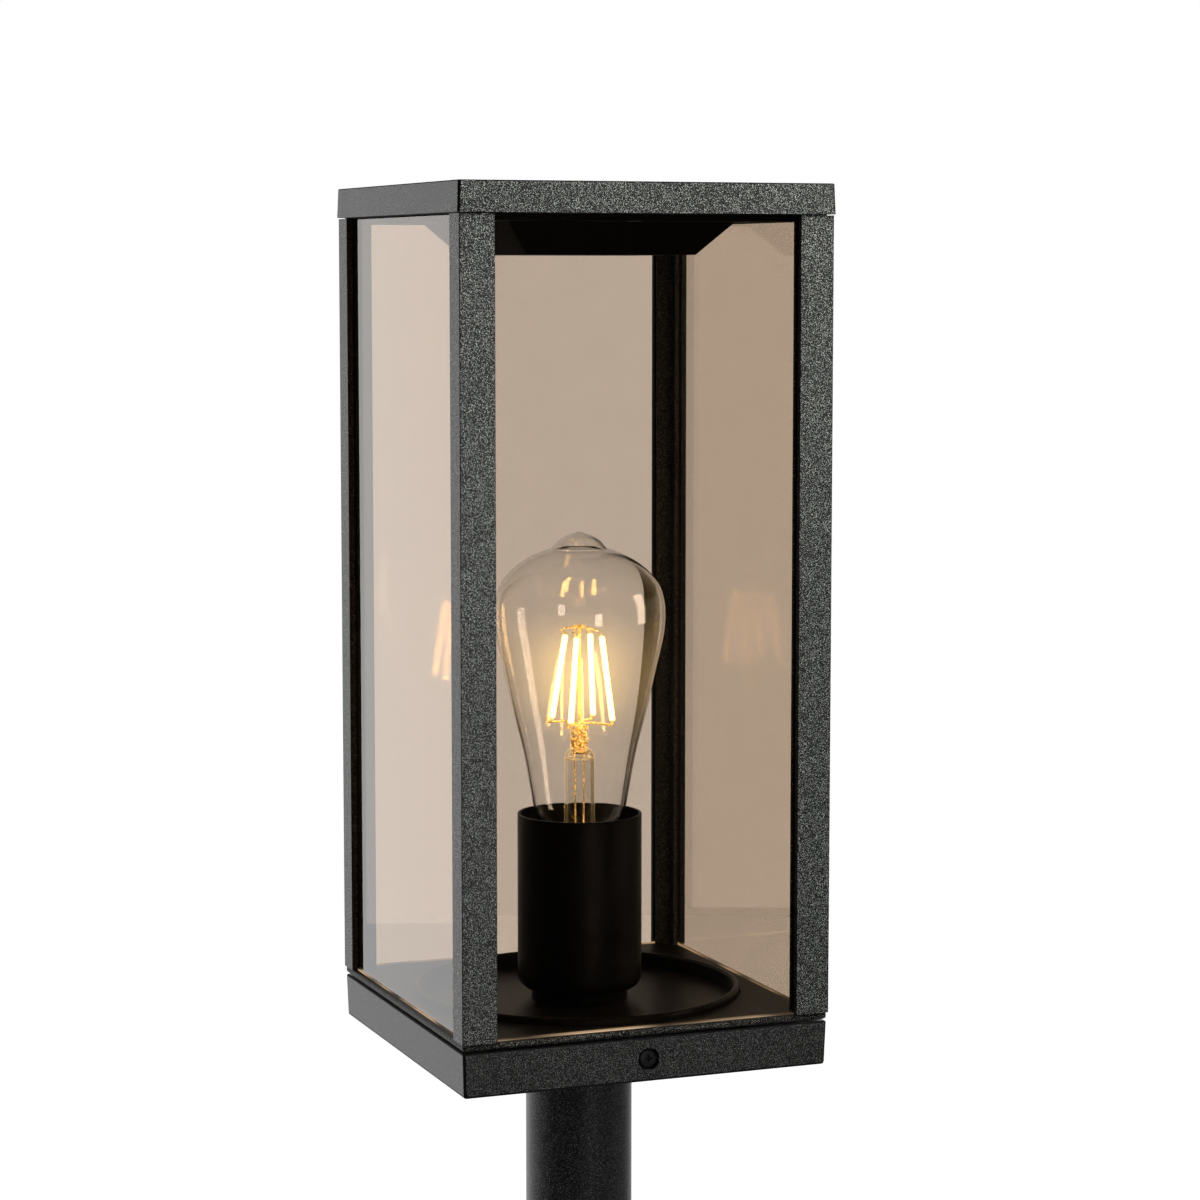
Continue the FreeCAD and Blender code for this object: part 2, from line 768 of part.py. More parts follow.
def mains_lead(pole_y, entry_y, side):
    """Lead from the terminal block up through the nipple to the lampholder."""
    run = housing_floor_top + m4_head_height + lead_gap + lead_radius
    y = side * lead_offset
    out = side * holder_terminal_place
    terminal = holder_low - holder_terminal_height
    rise = cup_floor_high + holder_base_floor
    span = terminal - rise
    points = [
        Vector(lead_start(), pole_y, pole_axis_level()),
        Vector(lead_start() - lead_start_inset - lead_bend_radius, pole_y, pole_axis_level()),
        Vector(lead_entry_x, entry_y, run),
        Vector(0, y, run),
        Vector(0, y, rise + span * 0.35),
        Vector(0, out, rise + span * 0.7),
        Vector(0, out, terminal + lead_radius),
    ]
    return bent_wire(points, lead_radius, lead_bend_radius)


def earth_lead():
    """Lead from the terminal block to the earth lug."""
    pole_y = pole_places()[-1]
    low = lug_level() + lug_barrel_radius()
    start = lug_tail_length - lug_barrel_length + lug_thickness
    points = [
        Vector(lead_start(), pole_y, pole_axis_level()),
        Vector(earth_turn_x, pole_y, pole_axis_level()),
        Vector(earth_turn_x, earth_y, low),
        Vector(start, earth_y, low),
    ]
    return bent_wire(points, lead_radius, lead_bend_radius)


def drip_tray():
    """Square tray with the round upstand that keeps water off the lampholder."""
    plate = square(2 * tray_half, tray_bottom, housing_top)
    plate = plate.makeFillet(housing_corner_radius, [e for e in plate.Edges if upright(e)])
    top = housing_top + ring_height
    inner = ring_radius - ring_wall
    ring = pipe(ring_radius, inner, housing_top - tray_thickness / 2, top)
    ring = ring.makeFillet(ring_edge_radius, [e for e in ring.Edges if level(e, top)])
    tray = plate.fuse(ring).removeSplitter()
    tray = tray.cut(rod(nipple_radius + thread_gap, tray_bottom - overrun, housing_top + overrun))
    hole = placed(sunk_hole(tray_thickness), Vector(0, 0, housing_top))
    for x, y in four_corners(tray_screw_place, tray_screw_place):
        tray = tray.cut(hole.translated(Vector(x, y, 0)))
    half = lock_lug_width / 2 + slot_gap
    for side in (-1, 1):
        near, far = sorted((side * (lock_lug_inner - slot_gap), side * (lock_lug_outer + slot_gap)))
        tray = tray.cut(box((-half, near, tray_bottom - overrun), (half, far, housing_top + overrun)))
    return tray


def tray_screws():
    """Countersunk screws of the tray."""
    screw = sunk_screw(boss_screw_length(housing_top))
    places = four_corners(tray_screw_place, tray_screw_place)
    return Part.makeCompound([placed(screw, Vector(x, y, housing_top)) for x, y in places])


def head_seal():
    """Flat rubber ring between the tray and the head's plate."""
    return pipe(seal_radius, seal_radius - seal_width, housing_top, plate_low)


def cup_spacer():
    """Disc that lifts the cup off the tray and leaves a shadow gap."""
    outer = cup_radius - cup_corner_radius - spacer_inset
    return pipe(outer, nipple_radius + thread_gap, housing_top, cup_floor_low)


def socket_cup():
    """Drawn steel cup round the lampholder."""
    top = cup_floor_low + cup_height
    body = rod(cup_radius, cup_floor_low, top)
    body = body.makeFillet(cup_corner_radius, [e for e in body.Edges if level(e, cup_floor_low)])
    inside = rod(cup_radius - cup_wall, cup_floor_high, top + overrun)
    inner_corner = cup_corner_radius - cup_wall
    inside = inside.makeFillet(inner_corner, [e for e in inside.Edges if level(e, cup_floor_high)])
    cup = body.cut(inside)
    cup = cup.makeFillet(cup_rim_radius, [e for e in cup.Edges if level(e, top)])
    return cup.cut(rod(nipple_radius + thread_gap, cup_floor_low - overrun, cup_floor_high + overrun))


def socket_nipple():
    """Hollow threaded nipple that carries the lampholder."""
    low = tray_bottom - nut_height - nipple_tail
    return pipe(nipple_radius, nipple_bore_radius, low, cup_floor_high + holder_base_floor - nipple_end_gap)


def nipple_nut():
    """Hexagon nut under the tray."""
    corner = nut_across_flats / 2 / math.cos(math.pi / 6)
    nut = Part.Face(Part.makePolygon(hexagon(corner))).extrude(Vector(0, 0, nut_height))
    nut.translate(Vector(0, 0, tray_bottom - nut_height))
    return nut.cut(rod(nipple_radius + thread_gap, tray_bottom - nut_height - overrun, tray_bottom + overrun))


def lampholder_base():
    """Lower half of the lampholder, screwed on the nipple."""
    low, high = cup_floor_high, holder_low
    base = rod(holder_base_radius, low, high)
    base = base.makeFillet(holder_edge_radius, [e for e in base.Edges if level(e, low)])
    base = base.cut(rod(holder_base_radius - holder_base_wall, low + holder_base_floor, high + overrun))
    return base.cut(rod(nipple_radius + thread_gap, low - overrun, low + holder_base_floor + overrun))


def lampholder_body():
    """Upper half of the lampholder round the threaded shell."""
    low, high = holder_low, holder_low + holder_height
    body = rod(holder_radius, low, high)
    body = body.makeFillet(holder_edge_radius, [e for e in body.Edges if level(e, high)])
    body = body.cut(rod(shell_radius + shell_wall + running_gap, holder_seat, high + overrun))
    body = body.cut(rod(shell_radius + holder_rim_gap, high - holder_rim_depth, high + overrun))
    for side in (-1, 1):
        y = side * holder_terminal_place
        body = body.cut(rod(contact_rivet_radius + thread_gap, low - overrun, holder_seat + overrun, 0, y))
    return body


def threaded_shell():
    """Brass shell that takes the bulb's screw cap."""
    high = holder_low + holder_height - holder_rim_depth - shell_rim_gap
    return pipe(shell_radius + shell_wall, shell_radius, holder_seat + shell_lift, high)


def centre_contact():
    """Spring tongue under the bulb, with its rivet down to the live terminal."""
    low = holder_seat
    high = bulb_tip_low - running_gap
    half = contact_width / 2
    end = contact_length - holder_terminal_place
    foot = -holder_terminal_place - half / 2
    foot_end = foot + half * 2
    outline = [
        Vector(-half, foot, low), Vector(-half, foot_end, low),
        Vector(-half, 0, high - contact_thickness), Vector(-half, end, low + contact_thickness),
        Vector(-half, end, low + 2 * contact_thickness), Vector(-half, 0, high),
        Vector(-half, foot_end, low + contact_thickness), Vector(-half, foot, low + contact_thickness),
    ]
    tongue = Part.Face(Part.makePolygon(outline + outline[:1])).extrude(Vector(contact_width, 0, 0))
    rivet = rod(contact_rivet_radius, holder_low, low + contact_thickness, 0, -holder_terminal_place)
    return tongue.fuse(rivet).removeSplitter()


def lampholder_terminals():
    """Two brass terminals under the lampholder's floor, the neutral one with its rivet."""
    half = holder_terminal_size / 2
    low = holder_low - holder_terminal_height
    solids = []
    for side in (-1, 1):
        y = side * holder_terminal_place
        block = box((-half, y - half, low), (half, y + half, holder_low))
        block = block.cut(rod(lead_radius, low - overrun, low + lead_radius, 0, y))
        solids.append(block)
    rivet = rod(contact_rivet_radius, holder_low, holder_seat, 0, holder_terminal_place)
    solids[1] = solids[1].fuse(rivet).removeSplitter()
    return Part.makeCompound(solids)


def bulb_body_points():
    """Outline of the glass from the neck to the nub."""
    neck = [Vector(neck_radius, 0, z) for z in (cap_rim - neck_sink, cap_rim + neck_rise)]
    return neck + share_points(bulb_body_shares)


def share_points(shares):
    """Outline points from shares of the bulb's radius and its height above the cap."""
    return [Vector(r * bulb_radius, 0, cap_rim + z * glass_height) for r, z in shares]


def moved_inwards(outer, inset):
    """Outline points moved inwards along their normals."""
    points = []
    for i, point in enumerate(outer):
        along = outer[min(i + 1, len(outer) - 1)] - outer[max(i - 1, 0)]
        inward = Vector(-along.z, 0, along.x).normalize()
        if point.x == 0:
            inward = Vector(0, 0, -1)
        points.append(point + inward * inset)
    return points


def smooth_edge(points):
    """A smooth edge through points."""
    curve = Part.BSplineCurve()
    curve.interpolate(points)
    return curve.toShape()


def bulb_glass():
    """Blown glass with the sealed nub at its top."""
    body_out, nub_out = bulb_body_points(), share_points(bulb_nub_shares)
    body_in, nub_in = moved_inwards(body_out, bulb_wall), moved_inwards(nub_out, bulb_wall)
    meet = (body_in[-1] + nub_in[0]) / 2
    body_in[-1], nub_in[0] = meet, meet
    edges = [smooth_edge(body_out), smooth_edge(nub_out)]
    edges.append(Part.LineSegment(nub_out[-1], nub_in[-1]).toShape())
    edges += [smooth_edge(nub_in[::-1]), smooth_edge(body_in[::-1])]
    edges.append(Part.LineSegment(body_in[0], body_out[0]).toShape())
    section = Part.Face(Part.Wire(edges))
    return section.revolve(Vector(0, 0, 0), Vector(0, 0, 1), 360)


def bulb_stem():
    """Glass stem: flare at the neck, round tube, flat crimp round the wires."""
    base = bulb_tip_low
    low, high = base + flare_bottom, base + stem_top
    inner = stem_radius - stem_wall
    flare_radius = neck_radius - bulb_wall - flare_fit
    profile = [
        (flare_radius - stem_wall, low), (flare_radius, low),
        (stem_radius, low + flare_height), (stem_radius, high),
        (inner, high + stem_dome), (0, high + stem_dome),
        (0, high), (inner, high), (inner, low + flare_height),
    ]
    stem = turned(profile)
    a = (-crimp_width / 2, -crimp_thickness / 2, high + stem_dome / 2)
    b = (crimp_width / 2, crimp_thickness / 2, base + crimp_top)
    crimp = box(a, b)
    crimp = crimp.makeFillet(crimp_thickness * 0.4, [e for e in crimp.Edges if upright(e)])
    return stem.fuse(crimp).removeSplitter()


def filament_ends():
    """Lower and upper end of each filament."""
    low = round_places(filament_count, filament_low_circle, filament_phase)
    high = round_places(filament_count, filament_high_circle, filament_phase)
    base = bulb_tip_low
    return [(Vector(a[0], a[1], base + filament_low), Vector(b[0], b[1], base + filament_high))
            for a, b in zip(low, high)]


def stick(start, end, radius):
    """A round bar between two points."""
    return Part.makeCylinder(radius, (end - start).Length, start, end - start)


def bulb_filaments():
    """Straight filaments that lean in towards the top."""
    return Part.makeCompound([stick(low, high, filament_radius) for low, high in filament_ends()])


def bulb_filament_frame():
    """Centre rod, upper arms and lower arms that carry the filaments."""
    base = bulb_tip_low
    centre_low = Vector(0, 0, base + star_wire_height)
    centre_high = Vector(0, 0, base + arm_height)
    frame = stick(Vector(0, 0, base + crimp_top), centre_high, rod_radius)
    for low, high in filament_ends():
        gap = (high - low).normalize() * filament_radius
        arm_low = Vector(low.x, low.y, centre_low.z)
        arm_high = Vector(high.x, high.y, centre_high.z)
        for start, end in ((centre_low, arm_low), (arm_low, low), (centre_high, arm_high), (arm_high, high)):
            frame = frame.fuse(stick(start, end, wire_radius))
        for knee in (arm_low, arm_high):
            frame = frame.fuse(Part.makeSphere(wire_radius, knee))
        frame = frame.cut(stick(low, low + gap, filament_radius))
        frame = frame.cut(stick(high, high - gap, filament_radius))
    return frame


def bulb_screw_cap():
    """Screw cap: thin shell with a rolled thread, drawn here as even rings."""
    base = bulb_tip_low
    start = base + thread_start
    root = thread_radius - thread_depth
    outer = [(insulator_radius, base + insulator_height), (root, start)]
    for turn in range(thread_turns):
        crest = start + (turn + 0.5) * thread_pitch
        quarter = thread_pitch * 0.25
        outer += [(thread_radius, crest - quarter / 2), (thread_radius, crest + quarter / 2)]
        outer.append((root, start + (turn + 1) * thread_pitch))
    shoulder = start + thread_turns * thread_pitch + thread_pitch * 0.25
    outer += [(cap_collar_radius, shoulder), (cap_collar_radius, base + cap_height)]
    inner = [(r - cap_wall, z) for r, z in outer[::-1]]
    return turned(outer + inner)


def bulb_insulator():
    """Black glass cone between the shell and the contact."""
    base = bulb_tip_low
    low = base + contact_height
    top = base + insulator_height
    inner = insulator_radius - cap_wall
    profile = [(0, low), (contact_radius, low), (inner - thread_gap, top), (0, top)]
    return turned(profile)


def bulb_contact():
    """Solder contact at the bulb's foot."""
    base = bulb_tip_low
    high = base + contact_height - thread_gap
    profile = [(0, base), (contact_radius * 0.6, base), (contact_radius, base + contact_height / 2),
               (contact_radius, high), (0, high)]
    return turned(profile)


def head_plate():
    """Cast plate under the glass, with the round hole and the two lugs for the lock screws."""
    plate = rounded_block(square(lantern_width, plate_low, plate_high), head_corner_radius,
                          head_edge_radius, head_edge_radius)
    half = lock_lug_width / 2
    for side in (-1, 1):
        near, far = sorted((side * lock_lug_inner, side * lock_lug_outer))
        middle = (plate_low + plate_high) / 2
        plate = plate.fuse(box((-half, near, housing_floor_top + lock_lug_clear), (half, far, middle)))
    plate = plate.removeSplitter()
    plate = plate.cut(rod(ring_radius + head_hole_gap, plate_low - overrun, plate_high + overrun))
    hole = placed(sunk_hole(head_plate_thickness), Vector(0, 0, plate_low), Vector(0, 0, -1))
    for x, y in port_places():
        plate = plate.cut(hole.translated(Vector(x, y, 0)))
    return plate


def port_places():
    """Places of the screw ports in the corner posts."""
    return four_corners(post_face - port_inset_x, post_face - port_inset_y)


def corner_post(x_side, y_side):
    """Extruded corner post: two legs, each with a groove for a pane."""
    lip, slot = outer_lip, outer_lip + groove_width
    wide_groove, narrow_groove = wide_leg - groove_depth, narrow_leg - groove_depth
    outline = [
        (0, 0), (wide_leg, 0), (wide_leg, lip), (wide_groove, lip), (wide_groove, slot),
        (wide_leg, slot), (wide_leg, leg_depth), (leg_depth, leg_depth), (leg_depth, narrow_leg),
        (slot, narrow_leg), (slot, narrow_groove), (lip, narrow_groove), (lip, narrow_leg), (0, narrow_leg),
    ]
    points = [Vector(x_side * (post_face - u), y_side * (post_face - v), plate_high) for u, v in outline]
    bar = Part.Face(Part.makePolygon(points + points[:1])).extrude(Vector(0, 0, corner_height))
    outside = [e for e in bar.Edges if upright(e) and on_face(e)]
    bar = bar.makeFillet(corner_edge_radius, outside)
    x, y = x_side * (post_face - port_inset_x), y_side * (post_face - port_inset_y)
    return bar.cut(rod(m3_radius + thread_gap, plate_high - overrun, frame_low + overrun, x, y))


def on_face(edge):
    """True for an upright edge that lies on an outer face of the corner posts."""
    centre = edge.CenterOfMass
    return post_face - max(abs(centre.x), abs(centre.y)) < corner_edge_radius / 2


def pane(axis):
    """One pane, standing in the grooves of two posts. axis is the wall's outward direction."""
    leg = wide_leg if axis.y else narrow_leg
    half = post_face - leg + groove_depth - glass_end_gap
    low, high = plate_high, frame_low - glass_end_gap
    back = pane_face - glass_thickness
    if axis.y:
        near, far = sorted((axis.y * back, axis.y * pane_face))
        return box((-half, near, low), (half, far, high))
    near, far = sorted((axis.x * back, axis.x * pane_face))
    return box((near, -half, low), (far, half, high))


def glazing_strips():
    """Rubber strips behind the panes, in the grooves."""
    back = pane_face - glass_thickness
    low, high = plate_high, frame_low - glass_end_gap
    strips = []
    for leg, along_y in ((wide_leg, False), (narrow_leg, True)):
        end = post_face - leg + groove_depth - glass_end_gap
        for side, hand in four_corners(1, 1):
            a, b = sorted((side * (back - strip_thickness), side * back))
            c, d = sorted((hand * (end - strip_width), hand * end))
            strips.append(box((a, c, low), (b, d, high)) if along_y else box((c, a, low), (d, b, high)))
    return Part.makeCompound(strips)


def post_bottom_screws():
    """Countersunk screws up through the head's plate into the posts."""
    screw = sunk_screw(post_screw_bite)
    down = Vector(0, 0, -1)
    return Part.makeCompound([placed(screw, Vector(x, y, plate_low), down) for x, y in port_places()])


def top_frame():
    """Flat frame that ties the posts' upper ends."""
    frame = square(2 * frame_half, frame_low, frame_high)
    frame = frame.cut(square(2 * (frame_half - frame_rim), frame_low - overrun, frame_high + overrun))
    for x, y in port_places():
        frame = frame.cut(rod(m3_radius + hole_gap, frame_low - overrun, frame_high + overrun, x, y))
    hole = placed(sunk_hole(frame_thickness), Vector(0, 0, frame_low), Vector(0, 0, -1))
    for x, y in four_corners(cap_screw_place, cap_screw_place):
        frame = frame.cut(hole.translated(Vector(x, y, 0)))
    for x, y in four_sides(shield_screw_place):
        frame = frame.cut(rod(m3_radius + thread_gap, frame_low - overrun, frame_high + overrun, x, y))
    return frame


def post_top_screws():
    """Screws down through the top frame into the posts."""
    screw = pan_screw(m3_radius, m3_head_radius, m3_head_height, post_screw_bite)
    return Part.makeCompound([placed(screw, Vector(x, y, frame_high)) for x, y in port_places()])


def roof_gasket():
    """Square gasket between the heat shield and the top frame."""
    gasket = square(2 * gasket_half, shield_high, frame_low)
    gasket = gasket.cut(square(2 * (gasket_half - gasket_band), shield_high - overrun, frame_low + overrun))
    for x, y in four_sides(shield_screw_place):
        gasket = gasket.cut(rod(m3_radius + hole_gap, shield_high - overrun, frame_low + overrun, x, y))
    return gasket


def heat_shield():
    """Pressed sheet under the roof, with a drop whose sides slope."""
    low = shield_low - shield_drop
    top_width = 2 * (shield_half - shield_flange)
    bottom_width = top_width - 2 * shield_slope_run
    shield = square(2 * shield_half, shield_low, shield_high)
    shield = shield.fuse(tapered(bottom_width, top_width, low, shield_low)).removeSplitter()
    wider = 2 * shield_slope_run / shield_drop * shield_thickness - 2 * shield_thickness
    inside = tapered(bottom_width + wider, top_width + wider, low + shield_thickness, shield_high)
    shield = shield.cut(inside)
    hole = placed(sunk_hole(shield_thickness), Vector(0, 0, shield_low), Vector(0, 0, -1))
    for x, y in four_sides(shield_screw_place):
        shield = shield.cut(hole.translated(Vector(x, y, 0)))
    return shield


def heat_shield_screws():
    """Countersunk screws of the heat shield."""
    screw = sunk_screw(frame_high - shield_low)
    down = Vector(0, 0, -1)
    places = four_sides(shield_screw_place)
    return Part.makeCompound([placed(screw, Vector(x, y, shield_low), down) for x, y in places])


def roof_cap():
    """Cast roof: a shallow drafted lid with screw bosses inside."""
    cap = tapered(2 * roof_half, 2 * (roof_half - roof_draft), roof_low, roof_top)
    cap = rounded_block(cap, roof_corner_radius, 0, roof_edge_radius)
    cap = cap.cut(square(2 * roof_inside, roof_low - overrun, roof_top - roof_wall))
    for x, y in four_corners(cap_screw_place, cap_screw_place):
        cap = cap.fuse(rod(boss_radius, frame_high, roof_top - roof_wall / 2, x, y))
    cap = cap.removeSplitter()
    for x, y in four_corners(cap_screw_place, cap_screw_place):
        cap = cap.cut(rod(m3_radius + thread_gap, frame_high - overrun, roof_top - roof_wall, x, y))
    return cap


def roof_cap_screws():
    """Countersunk screws up through the top frame into the roof's bosses."""
    screw = sunk_screw(roof_top - roof_wall - frame_low - screw_end_gap)
    down = Vector(0, 0, -1)
    places = four_corners(cap_screw_place, cap_screw_place)
    return Part.makeCompound([placed(screw, Vector(x, y, frame_low), down) for x, y in places])


pieces = {
    "foot_plate": foot_plate(),
    "foot_grub_screws": foot_grub_screws(),
    "post_tube": post_tube(),
    "post_insert": post_insert(),
    "post_screws": post_screws(),
    "base_housing": base_housing(),
    "cable_grommet": cable_grommet(),
    "cable_clamp": cable_clamp(),
    "clamp_screws": clamp_screws(),
    "terminal_block": terminal_block(),
    "terminal_clamps": terminal_clamps(),
    "terminal_fixing_screws": terminal_fixing_screws(),
    "earth_lug": earth_lug(),
    "earth_screw": earth_screw(),
    "live_lead": mains_lead(pole_places()[0], live_entry_y, -1),
    "neutral_lead": mains_lead(pole_places()[1], neutral_entry_y, 1),
    "earth_lead": earth_lead(),
    "drip_tray": drip_tray(),
    "tray_screws": tray_screws(),
    "head_seal": head_seal(),
    "cup_spacer": cup_spacer(),
    "socket_cup": socket_cup(),
    "socket_nipple": socket_nipple(),
    "nipple_nut": nipple_nut(),
    "lampholder_base": lampholder_base(),
    "lampholder_body": lampholder_body(),
    "lampholder_terminals": lampholder_terminals(),
    "threaded_shell": threaded_shell(),
    "centre_contact": centre_contact(),
    "bulb_contact": bulb_contact(),
    "bulb_insulator": bulb_insulator(),
    "bulb_screw_cap": bulb_screw_cap(),
    "bulb_glass": bulb_glass(),
    "bulb_stem": bulb_stem(),
    "bulb_filaments": bulb_filaments(),
    "bulb_filament_frame": bulb_filament_frame(),
    "head_plate": head_plate(),
    "corner_post_front_left": corner_post(-1, -1),
    "corner_post_front_right": corner_post(1, -1),
    "corner_post_back_left": corner_post(-1, 1),
    "corner_post_back_right": corner_post(1, 1),
    "pane_front": pane(Vector(0, -1, 0)),
    "pane_back": pane(Vector(0, 1, 0)),
    "pane_left": pane(Vector(-1, 0, 0)),
    "pane_right": pane(Vector(1, 0, 0)),
    "glazing_strips": glazing_strips(),
    "post_bottom_screws": post_bottom_screws(),
    "top_frame": top_frame(),
    "post_top_screws": post_top_screws(),
    "roof_gasket": roof_gasket(),
    "heat_shield": heat_shield(),
    "heat_shield_screws": heat_shield_screws(),
    "roof_cap": roof_cap(),
    "roof_cap_screws": roof_cap_screws(),
    "front_lock_screw": lock_screw(-1),
    "front_lock_oring": lock_oring(-1),
    "back_lock_screw": lock_screw(1),
    "back_lock_oring": lock_oring(1),
}

os.makedirs("parts", exist_ok=True)
for name, shape in pieces.items():
    shape.exportStep("parts/" + name + ".step")
    print(name, len(shape.Solids), shape.isValid(), round(shape.Volume, 1))
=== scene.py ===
import math
import bmesh
import bpy
from mathutils import Matrix, Vector
from mathutils.geometry import interpolate_bezier


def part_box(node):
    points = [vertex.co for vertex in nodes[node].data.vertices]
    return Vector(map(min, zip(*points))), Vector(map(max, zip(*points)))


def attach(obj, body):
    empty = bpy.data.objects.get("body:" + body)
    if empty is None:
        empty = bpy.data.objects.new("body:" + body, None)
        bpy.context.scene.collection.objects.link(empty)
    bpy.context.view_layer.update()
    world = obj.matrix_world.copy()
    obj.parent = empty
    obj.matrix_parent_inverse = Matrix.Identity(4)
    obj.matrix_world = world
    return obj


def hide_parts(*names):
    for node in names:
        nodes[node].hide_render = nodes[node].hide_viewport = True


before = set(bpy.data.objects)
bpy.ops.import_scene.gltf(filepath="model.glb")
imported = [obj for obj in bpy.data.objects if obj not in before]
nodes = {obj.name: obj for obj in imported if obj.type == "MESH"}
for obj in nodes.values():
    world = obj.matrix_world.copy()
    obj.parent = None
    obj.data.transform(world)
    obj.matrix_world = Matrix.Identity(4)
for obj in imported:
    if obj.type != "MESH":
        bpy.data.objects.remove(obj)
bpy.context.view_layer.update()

# Foot plate
# A cast square plate with a collar for the post, and holes for four ground bolts and the cable.
# Like the rest of the outer metal it is powder coated, dark greenish grey with a fine rough grain whose
# bright specks are painted glints.


def add_node(tree, kind, inputs=(), **settings):
    """A shader node with its settings, and its inputs set or linked."""
    node = tree.nodes.new("ShaderNode" + kind)
    for name, value in settings.items():
        setattr(node, name, value)
    for name, value in dict(inputs).items():
        if isinstance(value, bpy.types.NodeSocket):
            tree.links.new(value, node.inputs[name])
        else:
            node.inputs[name].default_value = value
    return node


surface_outputs = {"Color": "Color", "Roughness": "Float", "Height": "Float"}


def effect_group(name, numbers):
    """An empty node group that takes a tone and named numbers, and gives a surface's look."""
    tree = bpy.data.node_groups.new(name, "ShaderNodeTree")
    sockets = [("Tone", "INPUT", "Color")]
    sockets += [(label, "INPUT", "Float") for label in numbers]
    sockets += [(label, "OUTPUT", kind) for label, kind in surface_outputs.items()]
    for label, way, kind in sockets:
        tree.interface.new_socket(label, in_out=way, socket_type="NodeSocket" + kind)
    return tree, tree.nodes.new("NodeGroupInput").outputs, tree.nodes.new("NodeGroupOutput").inputs


def give_out(tree, gives, *results):
    """Links an effect's colour, roughness and height to its outputs."""
    for label, result in zip(surface_outputs, results):
        tree.links.new(result, gives[label])


def math_node(tree, operation, a, b=0.0, c=0.0):
    """The result of one arithmetic step."""
    return add_node(tree, "Math", {0: a, 1: b, 2: c}, operation=operation).outputs[0]


def left_of_one(tree, share):
    """What a share leaves of 1."""
    return math_node(tree, "SUBTRACT", 1.0, share)


def scaled(tree, colour, level):
    """A colour times a level that changes over the surface."""
    node = add_node(tree, "VectorMath", {0: colour, "Scale": level}, operation="SCALE")
    return node.outputs["Vector"]


def noise(tree, place, scale, detail, roughness=0.5):
    """Cloudy noise between about 0.25 and 0.75."""
    values = {"Vector": place, "Scale": scale, "Detail": detail, "Roughness": roughness}
    return add_node(tree, "TexNoise", values).outputs["Fac"]


def ranged(tree, value, low, high, to_low=0.0, to_high=1.0, **settings):
    """A value stretched from one range to another and held inside it."""
    values = {"Value": value, "From Min": low, "From Max": high, "To Min": to_low, "To Max": to_high}
    return add_node(tree, "MapRange", values, **settings).outputs["Result"]


def object_place(tree):
    """A point's place on the object."""
    return add_node(tree, "TexCoord").outputs["Object"]


def sharp_edges(tree):
    """A mask that is 1 where a rounded edge faces between two walls, and 0 on the walls."""
    normal = add_node(tree, "TexCoord").outputs["Normal"]
    facing = add_node(tree, "VectorMath", {0: normal}, operation="ABSOLUTE").outputs["Vector"]
    sides = add_node(tree, "SeparateXYZ", {0: facing}).outputs
    flattest = math_node(tree, "MAXIMUM", math_node(tree, "MAXIMUM", sides[0], sides[1]), sides[2])
    return ranged(tree, flattest, 0.995, 0.95)


def facing_in(tree):
    """A mask that is 1 on faces turned towards the object's middle, and 0 on its outer faces."""
    point = add_node(tree, "TexCoord").outputs
    outward = add_node(tree, "VectorMath", {0: point["Object"], 1: point["Normal"]}, operation="DOT_PRODUCT")
    return ranged(tree, outward.outputs["Value"], 0.001, -0.001)


def turned_up(tree):
    """A mask that is 1 on level faces turned upwards."""
    normal = add_node(tree, "TexCoord").outputs["Normal"]
    return ranged(tree, add_node(tree, "SeparateXYZ", {0: normal}).outputs["Z"], 0.6, 0.95)


grain_scale = 4000.0
grain_turn = (0.5, 0.7, 0.9)
grain_glint_start = 0.62
grain_glint_full = 0.72
grain_glint_roughness = 0.12
edge_and_inside_shade_roughness = 0.5
inside_shade_share = 0.8


def make_grain_and_painted_light():
    """Fine grain of a textured powder coat with painted glints on it, painted shade and a duller surface on
    sharp edges and inner faces, and painted shade on upturned faces.
    """
    tree, given, gives = effect_group("grain_and_painted_light", ("Glint", "Grain", "Gloss", "Edge", "Top"))
    place = object_place(tree)
    turned = add_node(tree, "Mapping", {"Vector": place, "Rotation": grain_turn}).outputs["Vector"]
    # Painted glints: the grain's bright specks in the base colour stand in for highlights on the grain, and
    # the same specks give its relief.
    grain_glints = ranged(tree, noise(tree, turned, given["Grain"], detail=0.0), grain_glint_start, grain_glint_full)
    clouds = ranged(tree, noise(tree, place, scale=14.0, detail=3.0), 0.3, 0.7, to_low=0.92, to_high=1.08)
    level = math_node(tree, "MULTIPLY", math_node(tree, "MULTIPLY_ADD", grain_glints, given["Glint"], 1.0), clouds)
    # Painted shade: sharp edges and faces turned inwards are darkened by the Edge share, and made duller.
    inside = math_node(tree, "MULTIPLY", facing_in(tree), inside_shade_share)
    edge_and_inside_shade = math_node(tree, "MULTIPLY", math_node(tree, "MAXIMUM", sharp_edges(tree), inside), given["Edge"])
    level = math_node(tree, "MULTIPLY", level, left_of_one(tree, edge_and_inside_shade))
    # Painted shade on faces turned upwards, by the Top share.
    shaded = math_node(tree, "MULTIPLY", turned_up(tree), given["Top"])
    level = math_node(tree, "MULTIPLY", level, left_of_one(tree, shaded))
    rough = math_node(tree, "MULTIPLY_ADD", grain_glints, grain_glint_roughness, given["Gloss"])
    rough = math_node(tree, "MULTIPLY_ADD", edge_and_inside_shade, edge_and_inside_shade_roughness, rough)
    give_out(tree, gives, scaled(tree, given["Tone"], level), rough, grain_glints)
    return tree


grain_and_painted_light = make_grain_and_painted_light()


def new_finish(name, plain):
    """A material with one Principled shader whose plain values sit on its own sockets."""
    finish = bpy.data.materials.new(name)
    finish.use_nodes = True
    shader = finish.node_tree.nodes["Principled BSDF"]
    for label, value in plain.items():
        shader.inputs[label].default_value = value
    return finish, finish.node_tree, shader


def raise_surface(tree, shader, height, depth):
    """Bump of a given depth in metres on a shader."""
    bump = add_node(tree, "Bump", {"Strength": 1.0, "Distance": depth, "Height": height})
    tree.links.new(bump.outputs["Normal"], shader.inputs["Normal"])


